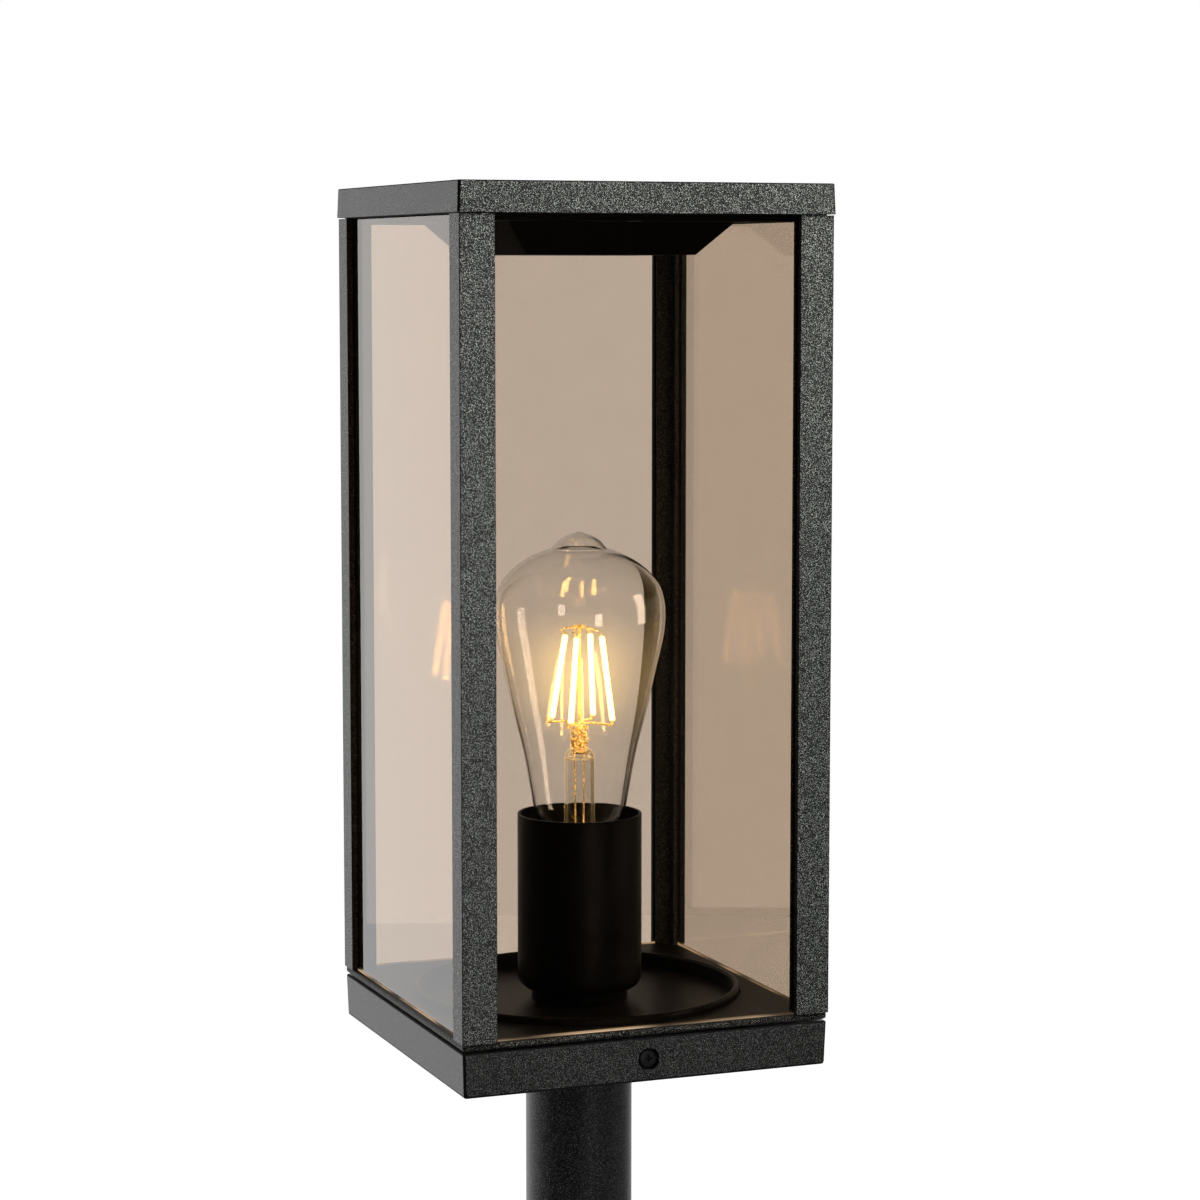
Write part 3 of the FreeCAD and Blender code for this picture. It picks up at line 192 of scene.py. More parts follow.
def effect_finish(name, group, values, depth, plain):
    """A finish whose colour, roughness and relief come from an effect with this finish's values."""
    finish, tree, shader = new_finish(name, plain)
    effect = add_node(tree, "Group", values, node_tree=group)
    tree.links.new(effect.outputs["Color"], shader.inputs["Base Color"])
    tree.links.new(effect.outputs["Roughness"], shader.inputs["Roughness"])
    raise_surface(tree, shader, effect.outputs["Height"], depth)
    return finish


def powder_coat(name, tone, grain_glint, gloss, shine, depth, edge=0.0, top=0.0):
    """Textured powder coat with painted glints, and painted shade on edges, inner faces and upturned faces
    by the given shares.
    """
    values = {"Tone": tone, "Glint": grain_glint, "Grain": grain_scale, "Gloss": gloss, "Edge": edge, "Top": top}
    return effect_finish(name, grain_and_painted_light, values, depth, {"Specular IOR Level": shine})


def dress(finish, *names):
    """Gives solids of the frame their finish."""
    for name in names:
        slots = nodes[name].data.materials
        slots.clear()
        slots.append(finish)


outer_tone = (0.0067, 0.0070, 0.0064, 1)
foot_coat = powder_coat("foot_coat", outer_tone, grain_glint=98.0, gloss=0.38, shine=0.3, depth=0.00009)
dress(foot_coat, "foot_plate")

# Grub screws
# Three blackened steel grub screws with a hexagon socket, in tapped holes through the collar.
# They clamp the post tube in it.


def make_handling():
    """Stains, a fine grain and a slightly uneven skin, for metal and moulded parts."""
    tree, given, gives = effect_group("handling", ("Stain", "Rough", "Grain"))
    place = object_place(tree)
    stains = ranged(tree, noise(tree, place, scale=90.0, detail=4.0, roughness=0.6), 0.3, 0.7)
    grain = noise(tree, place, given["Grain"], detail=2.0)
    level = math_node(tree, "MULTIPLY_ADD", math_node(tree, "SUBTRACT", stains, 0.6), given["Stain"], 1.0)
    rough = math_node(tree, "MULTIPLY_ADD", stains, 0.12, given["Rough"])
    rough = math_node(tree, "MULTIPLY_ADD", grain, 0.06, rough)
    give_out(tree, gives, scaled(tree, given["Tone"], level), rough, grain)
    return tree


handling = make_handling()
matt = {"Specular IOR Level": 0.2}
metal = {"Metallic": 1.0}


def handled(name, tone, rough, stain, grain, depth=0.00001, plain=()):
    """A plain metal or moulded finish with marks of handling."""
    values = {"Tone": tone, "Stain": stain, "Rough": rough, "Grain": grain}
    return effect_finish(name, handling, values, depth, dict(plain))


black_steel = handled("black_steel", (0.006, 0.006, 0.0065, 1), rough=0.34, stain=0.5, grain=1400.0,
                      depth=0.00002, plain=matt)
dress(black_steel, "foot_grub_screws")

# Post tube
# A straight aluminium tube that stands in the collar and carries the lantern. It has the foot's powder coat,
# a little smoother, with a darker tone that is painted shade for the weaker light low down.

tube_coat_with_shade = powder_coat("tube_coat_with_shade", (0.0028, 0.0028, 0.0028, 1), grain_glint=84.0, gloss=0.36, shine=0.36,
                        depth=0.00006)
dress(tube_coat_with_shade, "post_tube")

# Plug and its screws
# A turned aluminium plug pressed into the tube's top end, tapped for three stainless pan head
# screws that hold the lantern's housing down on the post.

aluminium = handled("aluminium", (0.62, 0.62, 0.63, 1), rough=0.28, stain=0.25, grain=900.0, plain=metal)
stainless = handled("stainless", (0.56, 0.57, 0.58, 1), rough=0.26, stain=0.3, grain=1100.0, plain=metal)
dress(aluminium, "post_insert")
dress(stainless, "post_screws")

# Base housing
# A die-cast aluminium pan with a slight draft, bosses inside for the screws and a counterbore front and back
# for the lock screws. Its coat is the foot's with a darker tone, painted shade for the weaker light low
# down, and painted shade on its sharp edges and inner faces.

housing_coat_with_shade = powder_coat("housing_coat_with_shade", (0.0029, 0.0029, 0.0028, 1), grain_glint=100.0, gloss=0.36, shine=0.36,
                           depth=0.00012, edge=1.0)
dress(housing_coat_with_shade, "base_housing")

# Cable entry and clamp
# A black rubber grommet where the cable comes up through the plug, and a grey nylon bar on two
# bosses, with its two screws, that takes the pull off the cable.

black_rubber = handled("black_rubber", (0.008, 0.008, 0.008, 1), rough=0.55, stain=0.35, grain=700.0,
                       depth=0.00004, plain=matt)
grey_nylon = handled("grey_nylon", (0.27, 0.27, 0.27, 1), rough=0.42, stain=0.12, grain=800.0, depth=0.00002)
dress(black_rubber, "cable_grommet")
dress(grey_nylon, "cable_clamp")
dress(stainless, "clamp_screws")

# Terminal block and earth point
# A three-pole block of white nylon with brass clamps, held on two bosses by two screws. The earth
# point is a third boss, where a brass screw holds a tinned copper lug.

white_nylon = handled("white_nylon", (0.78, 0.76, 0.7, 1), rough=0.4, stain=0.1, grain=800.0, depth=0.00002)
brass = handled("brass", (0.72, 0.5, 0.2, 1), rough=0.26, stain=0.3, grain=900.0, plain=metal)
tinned_copper = handled("tinned_copper", (0.66, 0.63, 0.58, 1), rough=0.3, stain=0.3, grain=900.0,
                        plain=metal)
dress(white_nylon, "terminal_block")
dress(brass, "terminal_clamps", "earth_screw")
dress(stainless, "terminal_fixing_screws")
dress(tinned_copper, "earth_lug")

# Leads
# Single leads with a coloured plastic cover. Brown for live and blue for neutral run from the
# block up through the nipple to the lampholder, and green for earth runs to the lug.

for lead, cover, tone in (
    ("live_lead", "brown_cover", (0.14, 0.055, 0.025, 1)),
    ("neutral_lead", "blue_cover", (0.03, 0.1, 0.36, 1)),
    ("earth_lead", "green_cover", (0.06, 0.27, 0.07, 1)),
):
    dress(handled(cover, tone, rough=0.38, stain=0.15, grain=700.0), lead)

# Drip tray, its screws and the head's seal
# A square aluminium tray with a round upstand ring closes the housing, under four screws, and a
# rubber ring lies between it and the head. The tray's black coat is smooth enough to catch the
# glass's brown light.

tray_coat = powder_coat("tray_coat", (0.0024, 0.002, 0.0014, 1), grain_glint=1.2, gloss=0.38, shine=0.16,
                        depth=0.00002)
dress(tray_coat, "drip_tray")
dress(stainless, "tray_screws")
dress(black_rubber, "head_seal")

# Spacer, socket cup, nipple and nut
# A drawn steel cup with a rounded rim stands on a short spacer, both matt black. A hollow threaded
# nipple with a nut clamps them to the tray, and two leads pass up inside it.

cup_coat = powder_coat("cup_coat", (0.0004, 0.0004, 0.0003, 1), grain_glint=7.0, gloss=0.36, shine=0.13,
                       depth=0.00001)
dress(cup_coat, "cup_spacer", "socket_cup")
dress(stainless, "socket_nipple", "nipple_nut")

# Lampholder
# A black phenolic holder in two halves, with brass terminals underneath, a threaded brass shell
# and a springy centre contact.

black_phenolic = handled("black_phenolic", (0.02, 0.019, 0.018, 1), rough=0.24, stain=0.2, grain=600.0)
dress(black_phenolic, "lampholder_base", "lampholder_body")
dress(brass, "lampholder_terminals", "threaded_shell", "centre_contact")

# Lock screws
# Black steel pan head screws with a cross recess, one at the front and one at the back. Each has a
# rubber O-ring under its head and goes through the housing's wall to a lug of the lantern's head.


def thread_ridge(form, root, crest, pitch, start, turns, sides):
    """Adds the ridge of a screw thread about Z, closed at both ends."""
    steps = 10
    depth = crest - root
    wave = [Vector((root + depth * (1 - math.cos(math.tau * i / steps)) / 2, 0, start + pitch * i / steps))
            for i in range(steps + 1)]
    corners = [form.verts.new(point) for point in wave]
    corners.append(form.verts.new((root - depth / 3, 0, start + pitch)))
    corners.append(form.verts.new((root - depth / 3, 0, start)))
    section = form.faces.new(corners)
    bmesh.ops.spin(form, geom=[section], cent=(0, 0, 0), axis=(0, 0, 1), dvec=(0, 0, pitch / sides),
                   angle=math.tau * turns, steps=round(sides * turns))


def rounded_bar(form, radius, low, high, sides, edge, rounds=3):
    """Adds a round bar about Z whose end rims are rounded."""
    made = bmesh.ops.create_cone(form, cap_ends=True, segments=sides, radius1=radius, radius2=radius,
                                 depth=high - low, matrix=Matrix.Translation((0, 0, (low + high) / 2)))
    around = dict.fromkeys(e for v in made["verts"] for e in v.link_edges)
    rims = [e for e in around if abs(e.verts[0].co.z - e.verts[1].co.z) < edge / 9]
    bmesh.ops.bevel(form, geom=rims, offset=edge, segments=rounds, profile=0.5, affect="EDGES", material=-1)


def to_mesh(form, name):
    """A mesh from a finished form."""
    bmesh.ops.recalc_face_normals(form, faces=form.faces)
    mesh = bpy.data.meshes.new(name)
    form.to_mesh(mesh)
    form.free()
    return mesh


def cross_recess(solid, width, reach, depth, taper, top):
    """Cuts a cross recess that narrows downwards into a solid's top, from a level."""
    cutter = bmesh.new()
    for turn in (0, math.pi / 2):
        arm = bmesh.ops.create_cube(cutter, size=1.0)
        bmesh.ops.scale(cutter, vec=(2 * reach, width, 2 * depth), verts=arm["verts"])
        lows = [v for v in arm["verts"] if v.co.z < 0]
        bmesh.ops.scale(cutter, vec=taper, verts=lows)
        bmesh.ops.rotate(cutter, verts=arm["verts"], matrix=Matrix.Rotation(turn, 3, "Z"))
    bmesh.ops.translate(cutter, vec=(0, 0, top), verts=cutter.verts)
    tool = bpy.data.objects.new("recess", to_mesh(cutter, "recess"))
    bpy.context.scene.collection.objects.link(tool)
    cut = solid.modifiers.new("recess", "BOOLEAN")
    cut.object = tool
    cut.solver = "EXACT"
    cut.use_self = True
    seen = solid.evaluated_get(bpy.context.evaluated_depsgraph_get())
    mesh = bpy.data.meshes.new_from_object(seen)
    solid.modifiers.clear()
    solid.data = mesh
    bpy.data.objects.remove(tool)


def new_piece(name, mesh, finish, sharp=40):
    """An object in the scene with one finish, smooth except at its sharp edges."""
    mesh.materials.clear()
    mesh.materials.append(finish)
    mesh.shade_smooth()
    mesh.set_sharp_from_angle(angle=math.radians(sharp))
    piece = bpy.data.objects.new(name, mesh)
    bpy.context.scene.collection.objects.link(piece)
    return piece


lock_thread_pitch = 0.0007
lock_thread_start = 0.0003
lock_shank_radius = 0.002
lock_shank_core = lock_shank_radius * 0.86
lock_thread_root = lock_shank_radius * 0.84
lock_head_height = 0.0026
lock_head_edge = 0.0008
lock_point_edge = 0.0003
lock_recess_width = 0.0009
lock_recess_reach = 0.002
lock_recess_depth = 0.0014
lock_recess_taper = (0.45, 0.6, 1)
lock_shank_sink = 0.0002
lock_thread_stop = 0.0004


def lock_screw(side, name):
    """One lock screw, made upright and laid along Y, with its head on the given side."""
    low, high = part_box(name)
    length = high.y - low.y
    head_low = length - lock_head_height
    form = bmesh.new()
    head_radius = (high.x - low.x) / 2
    rounded_bar(form, head_radius, head_low, length, sides=48, edge=lock_head_edge, rounds=4)
    head = new_piece(name + "_head", to_mesh(form, name + "_head"), black_steel)
    bpy.context.view_layer.update()
    cross_recess(head, lock_recess_width, lock_recess_reach, lock_recess_depth, lock_recess_taper,
                 top=length)
    form = bmesh.new()
    form.from_mesh(head.data)
    bpy.data.objects.remove(head)
    rounded_bar(form, lock_shank_core, 0, head_low + lock_shank_sink, sides=32, edge=lock_point_edge,
                rounds=2)
    turns = math.floor((head_low - lock_thread_stop) / lock_thread_pitch) - 1
    thread_ridge(form, lock_thread_root, lock_shank_radius, lock_thread_pitch, lock_thread_start, turns,
                 sides=32)
    bmesh.ops.transform(form, matrix=Matrix.Rotation(-side * math.pi / 2, 4, "X"), verts=form.verts)
    inner = high.y if side < 0 else low.y
    bmesh.ops.translate(form, vec=(0, inner, (low.z + high.z) / 2), verts=form.verts)
    return new_piece(name + "_turned", to_mesh(form, name), black_steel)


for word, side in (("front", -1), ("back", 1)):
    screw = lock_screw(side, word + "_lock_screw")
    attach(screw, word + "_screw")
    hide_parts(word + "_lock_screw")
dress(black_rubber, "front_lock_oring", "back_lock_oring")

# Bulb's cap
# A thin plated brass screw cap with a rolled thread, black vitrified glass round its centre
# contact, cemented on the neck of the glass.

plated_cap = handled("plated_cap", (0.74, 0.66, 0.5, 1), rough=0.2, stain=0.25, grain=700.0, plain=metal)
black_glass = handled("black_glass", (0.012, 0.012, 0.014, 1), rough=0.1, stain=0.2, grain=500.0)
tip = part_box("bulb_contact")[0].z
cap_low, cap_high = (corner.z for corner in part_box("bulb_screw_cap"))
cap_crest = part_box("bulb_screw_cap")[1].x
cap_root = cap_crest - 0.0009
cap_collar = cap_crest - 0.00035
cap_shoulder = tip + 0.0188
cap_lower_rim = 0.0093
cap_wall = 0.0003
cap_pitch = 0.003629
cap_thread_start = 0.0009
cap_turns = 3.4


def spun(outline, sides):
    """A surface of revolution about Z from points in the XZ plane."""
    form = bmesh.new()
    corners = [form.verts.new(point) for point in outline]
    edges = [form.edges.new(pair) for pair in zip(corners, corners[1:])]
    bmesh.ops.spin(form, geom=corners + edges, cent=(0, 0, 0), axis=(0, 0, 1), dvec=(0, 0, 0),
                   angle=math.tau, steps=sides, use_merge=True)
    bmesh.ops.remove_doubles(form, verts=form.verts, dist=1e-6)
    bmesh.ops.recalc_face_normals(form, faces=form.faces)
    return form


def profile(pairs):
    """Outline points in the XZ plane from radius and height pairs."""
    return [Vector((radius, 0, height)) for radius, height in pairs]


cap_form = spun(profile([
    (cap_lower_rim, cap_low), (cap_root - 0.0008, cap_low + 0.0012), (cap_root, cap_low + 0.0026),
    (cap_root, cap_shoulder), (cap_collar - 0.0001, cap_shoulder + 0.0009),
    (cap_collar, cap_shoulder + 0.0012), (cap_collar, cap_high),
]), sides=96)
bmesh.ops.solidify(cap_form, geom=cap_form.faces[:], thickness=cap_wall)
thread_ridge(cap_form, cap_root, cap_crest, cap_pitch, cap_low + cap_thread_start, cap_turns, sides=96)
screw_cap = new_piece("rolled_cap", to_mesh(cap_form, "rolled_cap"), plated_cap)
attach(screw_cap, "bulb")
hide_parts("bulb_screw_cap")
dress(plated_cap, "bulb_contact")
dress(black_glass, "bulb_insulator")

# Bulb's glass
# Clear blown glass, a pear shape with a short straight neck, drawn to a sealed nub at the top. The wall is
# under a millimetre thick. Round the filaments' height the glass carries a painted amber glow, a halo face
# on, a glow on its rim and a faint veil, for the filaments' glare.


def clear_glass(name, tint, waves, plain):
    """Glass that lets the lamps' light through and is very slightly uneven."""
    finish, tree, shader = new_finish(name, {"Roughness": 0.0, "Transmission Weight": 1.0, **plain})
    place = object_place(tree)
    streaks = ranged(tree, noise(tree, place, scale=60.0, detail=2.0), 0.3, 0.7, to_low=0.985)
    tree.links.new(scaled(tree, tint[:3], streaks), shader.inputs["Base Color"])
    raise_surface(tree, shader, noise(tree, place, scale=45.0, detail=1.0), waves)
    open_glass = add_node(tree, "BsdfTransparent", {"Color": tint})
    shadow = add_node(tree, "LightPath").outputs["Is Shadow Ray"]
    either = add_node(tree, "MixShader", {0: shadow, 1: shader.outputs[0], 2: open_glass.outputs[0]})
    tree.links.new(either.outputs[0], tree.nodes["Material Output"].inputs["Surface"])
    return finish


def place_height(tree):
    """A point's height above the ground."""
    return add_node(tree, "SeparateXYZ", {0: object_place(tree)}).outputs["Z"]


def facing_away(tree):
    """0 where a wall is seen straight on, rising to 1 where it is seen edge on."""
    return add_node(tree, "LayerWeight", {"Blend": 0.5}).outputs["Facing"]


def lit_by(tree, colour, level):
    """Light of one colour on a finish, at a level that changes over the surface."""
    tree.links.new(scaled(tree, colour, level), tree.nodes["Principled BSDF"].inputs["Emission Color"])


def smooth_through(points, steps):
    """Points of a smooth line through the given ones."""
    line = []
    last = len(points) - 1
    for i in range(last):
        start, end = points[i], points[i + 1]
        leave = start + (end - points[max(i - 1, 0)]) / 6
        arrive = end - (points[min(i + 2, last)] - start) / 6
        line += interpolate_bezier(start, leave, arrive, end, steps + 1)[:-1]
    return line + [points[last]]


def wall_thickness(piece, thickness):
    """Gives a surface its wall, inwards."""
    wall = piece.modifiers.new("wall", "SOLIDIFY")
    wall.thickness = thickness
    wall.offset = -1
    wall.use_even_offset = True


filament_middle = tip + 0.086
painted_glow_reach = 0.028
painted_veil_reach = 0.05
glass_with_painted_glow = clear_glass("clear_glass_painted_glow", (0.985, 0.98, 0.97, 1), waves=0.0000005,
                        plain={"IOR": 1.47, "Specular IOR Level": 0.95, "Emission Strength": 0.28})
lit_tree = glass_with_painted_glow.node_tree
# Painted glow: amber light painted on the glass near the filaments' height.
from_middle = math_node(lit_tree, "ABSOLUTE",
                        math_node(lit_tree, "SUBTRACT", place_height(lit_tree), filament_middle))
near_filaments = ranged(lit_tree, from_middle, painted_glow_reach, 0.0, interpolation_type="SMOOTHERSTEP")
facing = facing_away(lit_tree)
frontal = math_node(lit_tree, "POWER", left_of_one(lit_tree, facing), 7.0)
painted_rim_glow = math_node(lit_tree, "MULTIPLY", ranged(lit_tree, facing, 0.35, 0.8, to_high=0.1),
                     ranged(lit_tree, from_middle, painted_veil_reach, 0.0))
painted_veil = ranged(lit_tree, from_middle, painted_veil_reach, 0.03, to_high=0.035)
painted_outer_glow = math_node(lit_tree, "ADD", painted_rim_glow, painted_veil)
painted_halo = math_node(lit_tree, "MULTIPLY_ADD", near_filaments, frontal, painted_outer_glow)
lit_by(lit_tree, (1.0, 0.69, 0.2), painted_halo)
glass_wall = 0.0009
bulb_radius = 0.032
bulb_height = 0.140
cap_rim = tip + 0.027
neck_radius = 0.0122
neck_sink = 0.0046
neck_rise = 0.00045
# Shares of the bulb's radius and of its height above the cap's rim, from the neck to the nub.
body_shares = [
    (0.456, 0.034), (0.519, 0.065), (0.555, 0.109), (0.586, 0.162), (0.669, 0.286), (0.784, 0.415),
    (0.898, 0.555), (0.973, 0.648), (0.997, 0.701), (1.000, 0.737), (0.986, 0.778), (0.935, 0.824),
    (0.825, 0.865), (0.700, 0.896), (0.550, 0.922), (0.420, 0.938), (0.320, 0.947),
]
nub_shares = [(0.320, 0.947), (0.285, 0.958), (0.235, 0.974), (0.140, 0.990), (0.000, 1.000)]


def bulb_points(shares):
    """Outline points of the bulb from its shares."""
    above = bulb_height - (cap_rim - tip)
    return profile([(radius * bulb_radius, cap_rim + height * above) for radius, height in shares])


neck_points = profile([(neck_radius, cap_rim - neck_sink), (neck_radius, cap_rim + neck_rise)])
glass_line = smooth_through(neck_points + bulb_points(body_shares), steps=6)[:-1]
glass_line += smooth_through(bulb_points(nub_shares), steps=6)
glass_form = spun(glass_line, sides=128)
blown_glass = new_piece("blown_glass", to_mesh(glass_form, "blown_glass"), glass_with_painted_glow, sharp=60)
wall_thickness(blown_glass, glass_wall)
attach(blown_glass, "bulb")
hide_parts("bulb_glass")

# Bulb's stem
# A glass tube fused to the neck by its flare, domed at the top, with a flat press above it that grips the
# wires. Both carry a painted amber glow on their edges, stronger towards the top.

stem_radius = 0.0057
stem_top = tip + 0.0575
press_top = tip + 0.068
press_low = stem_top - 0.0006
press_width = 0.0068
press_thickness = 0.003
flare_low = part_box("bulb_stem")[0].z
flare_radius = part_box("bulb_stem")[1].x
stem_line = profile([
    (flare_radius, flare_low), (flare_radius * 0.72, flare_low + 0.0022),
    (stem_radius * 1.08, flare_low + 0.0048), (stem_radius, flare_low + 0.008),
    (stem_radius, stem_top - 0.004), (stem_radius * 0.97, stem_top - 0.0012),
    (stem_radius * 0.8, stem_top + 0.0009), (stem_radius * 0.45, stem_top + 0.0018), (0, stem_top + 0.002),
])
stem_glass = clear_glass("stem_glass", (0.99, 0.97, 0.93, 1), waves=0.000001,
                         plain={"IOR": 1.47, "Emission Strength": 1.3})
stem_tree = stem_glass.node_tree
# Painted glow: amber light on the edges of the stem and press, stronger higher up, stands in for the
# filaments' light in the glass.
stem_edge_glow = math_node(stem_tree, "POWER", facing_away(stem_tree), 4.0)
stem_glow_rise = ranged(stem_tree, place_height(stem_tree), tip + 0.03, tip + 0.064, to_low=0.25)
lit_by(stem_tree, (1.0, 0.7, 0.3), math_node(stem_tree, "MULTIPLY", stem_edge_glow, stem_glow_rise))
stem_form = spun(smooth_through(stem_line, steps=5), sides=64)
stem_tube = new_piece("stem_tube", to_mesh(stem_form, "stem_tube"), stem_glass, sharp=60)
wall_thickness(stem_tube, glass_wall)
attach(stem_tube, "bulb")
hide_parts("bulb_stem")

press_form = bmesh.new()
press_size = (press_width, press_thickness, press_top - press_low)
bmesh.ops.create_cube(press_form, size=1.0)
bmesh.ops.scale(press_form, vec=press_size, verts=press_form.verts)
bmesh.ops.translate(press_form, vec=(0, 0, (press_top + press_low) / 2), verts=press_form.verts)
bmesh.ops.bevel(press_form, geom=press_form.edges[:], offset=press_thickness * 0.38, segments=5,
                profile=0.5, affect="EDGES", material=-1)
press = new_piece("stem_press", to_mesh(press_form, "stem_press"), stem_glass, sharp=60)
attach(press, "bulb")

# Filaments
# Four straight lit filaments, each a thin bright core inside an amber silicone sleeve with
# rounded ends. They lean in towards the top.

filament_low = tip + 0.070
filament_high = tip + 0.1015
filament_low_circle = 0.012
filament_high_circle = 0.0072
filament_low_shift = Vector((0.0009, -0.0004, 0))
filament_high_shift = Vector((0.0014, -0.0006, 0))
filament_radius = 0.001
core_radius = filament_radius * 0.7
core_inset = 0.0006
filament_turns = [math.radians(48.6) + math.pi / 2 * k for k in range(4)]


def round_place(radius, turn, height):
    """A point at a radius and an angle about the axis."""
    return Vector((radius * math.cos(turn), radius * math.sin(turn), height))


def lay_along(form, made, start, end):
    """Moves a bar made upward from the origin so that it runs from start towards end."""
    turn = (end - start).to_track_quat("Z", "Y").to_matrix().to_4x4()
    bmesh.ops.transform(form, matrix=Matrix.Translation(start) @ turn, verts=made)


def bars(places, radius, inset, sides, edge):
    """Round bars between pairs of points, short of both ends by the inset."""
    form = bmesh.new()
    for start, end in places:
        before = set(form.verts)
        rounded_bar(form, radius, inset, (end - start).length - inset, sides, edge)
        lay_along(form, [v for v in form.verts if v not in before], start, end)
    return form


filament_places = [(round_place(filament_low_circle, turn, filament_low) + filament_low_shift,
                    round_place(filament_high_circle, turn, filament_high) + filament_high_shift)
                   for turn in filament_turns]


def glowing(name, tone, glow, strength, plain=()):
    """A lit finish with slightly uneven beads of light."""
    lit = {"Roughness": 0.35, "Emission Strength": strength}
    finish, tree, shader = new_finish(name, {**lit, **dict(plain)})
    beads = ranged(tree, noise(tree, object_place(tree), scale=900.0, detail=1.0), 0.3, 0.7, to_low=0.8)
    tree.links.new(scaled(tree, tone, beads), shader.inputs["Base Color"])
    lit_by(tree, glow, beads)
    return finish


core_glow = glowing("filament_core", (0.9, 0.7, 0.4), (1.0, 0.8, 0.4), strength=110.0)
sleeve_glow = glowing("filament_sleeve", (0.9, 0.6, 0.15), (1.0, 0.62, 0.12), strength=14.0,
                      plain={"Alpha": 0.6})
core_form = bars(filament_places, core_radius, core_inset, sides=16, edge=0.0003)
sleeve_form = bars(filament_places, filament_radius, 0.0, sides=24, edge=0.0007)
cores = new_piece("filament_cores", to_mesh(core_form, "cores"), core_glow, sharp=60)
sleeves = new_piece("filament_sleeves", to_mesh(sleeve_form, "sleeves"), sleeve_glow, sharp=60)
for piece in (cores, sleeves):
    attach(piece, "bulb")
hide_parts("bulb_filaments")

# Filament wires
# Gold coloured wires: a centre rod that ends in a small ring, four lower arms from the press with their ends
# turned up, four upper arms, and a knot of wire ends gripped by the press. Specks of painted glints on them
# stand in for the filaments' light.

gold_wire = handled("gold_wire", (1.0, 0.74, 0.3, 1), rough=0.4, stain=0.5, grain=1200.0, depth=0.000005,
                    plain={"Metallic": 0.85, "Emission Strength": 1.6})
gold_tree = gold_wire.node_tree
# Painted glints: amber light in specks over the wires.
wire_glints = ranged(gold_tree, noise(gold_tree, object_place(gold_tree), scale=1100.0, detail=0.0), 0.46, 0.66)
lit_by(gold_tree, (1.0, 0.62, 0.2), wire_glints)
arm_height = tip + 0.104
star_height = tip + 0.0686
rod_radius = 0.0006
thin_wire = 0.00036
arm_end = 0.0112
star_end = 0.013
wire_rise = Vector((0, 0, 0.0012))
ring_radius = 0.0021
ring_middle = Vector((0, 0, arm_height + 0.0009))


def add_wire(form, points, radius):
    """Adds a round wire along a smooth line through points."""
    curve = bpy.data.curves.new("wire", "CURVE")
    curve.dimensions = "3D"
    curve.bevel_depth = radius
    curve.bevel_resolution = 3
    curve.use_fill_caps = True
    line = curve.splines.new("POLY")
    path = smooth_through(points, steps=5)
    line.points.add(len(path) - 1)
    for target, point in zip(line.points, path):
        target.co = (*point, 1)
    bent = bpy.data.objects.new("wire", curve)
    form.from_mesh(bpy.data.meshes.new_from_object(bent))
    bpy.data.objects.remove(bent)


def on_axis(height, aside=0.0):
    """A point on the bulb's axis, or beside it along X."""
    return Vector((aside, 0, height))


def knot_points(k):
    """Points of one tangled wire end on the press."""
    return [Vector((0.0027 * math.sin(2.1 * step + 1.7 * k), 0.0009 * math.cos(3.3 * step + k),
                    press_top - 0.0095 + 0.0015 * step + 0.0007 * math.sin(5.0 * step + k)))
            for step in range(7)]


wires = bmesh.new()
add_wire(wires, [on_axis(press_top - 0.004), on_axis(star_height), on_axis(arm_height + 0.0015)], rod_radius)
for (low_end, high_end), turn in zip(filament_places, filament_turns):
    star_tip = round_place(star_end, turn, star_height)
    lower_arm = [round_place(0.0, turn, star_height), round_place(0.006, turn, star_height + 0.0004),
                 round_place(arm_end, turn, star_height), low_end - wire_rise / 3, low_end + wire_rise]
    upper_arm = [round_place(0.0, turn, arm_height + 0.0004), round_place(0.0045, turn, arm_height + 0.0002),
                 round_place(filament_high_circle, turn, arm_height - 0.0006),
                 high_end + wire_rise / 4, high_end - wire_rise]
    star_point = [round_place(0.011, turn, star_height), star_tip, star_tip + wire_rise * 1.6]
    add_wire(wires, lower_arm, thin_wire)
    add_wire(wires, upper_arm, thin_wire * 0.8)
    add_wire(wires, star_point, thin_wire * 1.2)
for k in range(4):
    add_wire(wires, knot_points(k), thin_wire * 1.4)
for side in (-1, 1):
    supply_wire = [on_axis(flare_low - 0.004, side * 0.0016), on_axis(stem_top - 0.006, side * 0.0018),
                   on_axis(press_top - 0.006, side * 0.0022)]
    add_wire(wires, supply_wire, thin_wire * 0.8)
ring_points = [ring_middle + round_place(ring_radius, math.tau * k / 16, 0) for k in range(17)]
add_wire(wires, ring_points, thin_wire)
wire_piece = new_piece("filament_wires", to_mesh(wires, "filament_wires"), gold_wire, sharp=60)
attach(wire_piece, "bulb")
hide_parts("bulb_filament_frame")

# Head plate
# A cast aluminium plate with a big round hole round the tray's ring and two lugs for the lock
# screws. Four countersunk screws from below hold the corner posts on it.

# The plate's upturned faces get painted shade.
head_coat = powder_coat("head_coat", (0.0042, 0.004, 0.0035, 1), grain_glint=76.0, gloss=0.42, shine=0.08,
                        depth=0.00009, top=0.93)
dress(head_coat, "head_plate")
dress(stainless, "post_bottom_screws")

# Corner posts
# Four extruded aluminium corner posts with a groove for the glass in each leg, cut to length and powder
# coated, with their long edges slightly rounded. Their rounded edges and inner faces get painted shade.

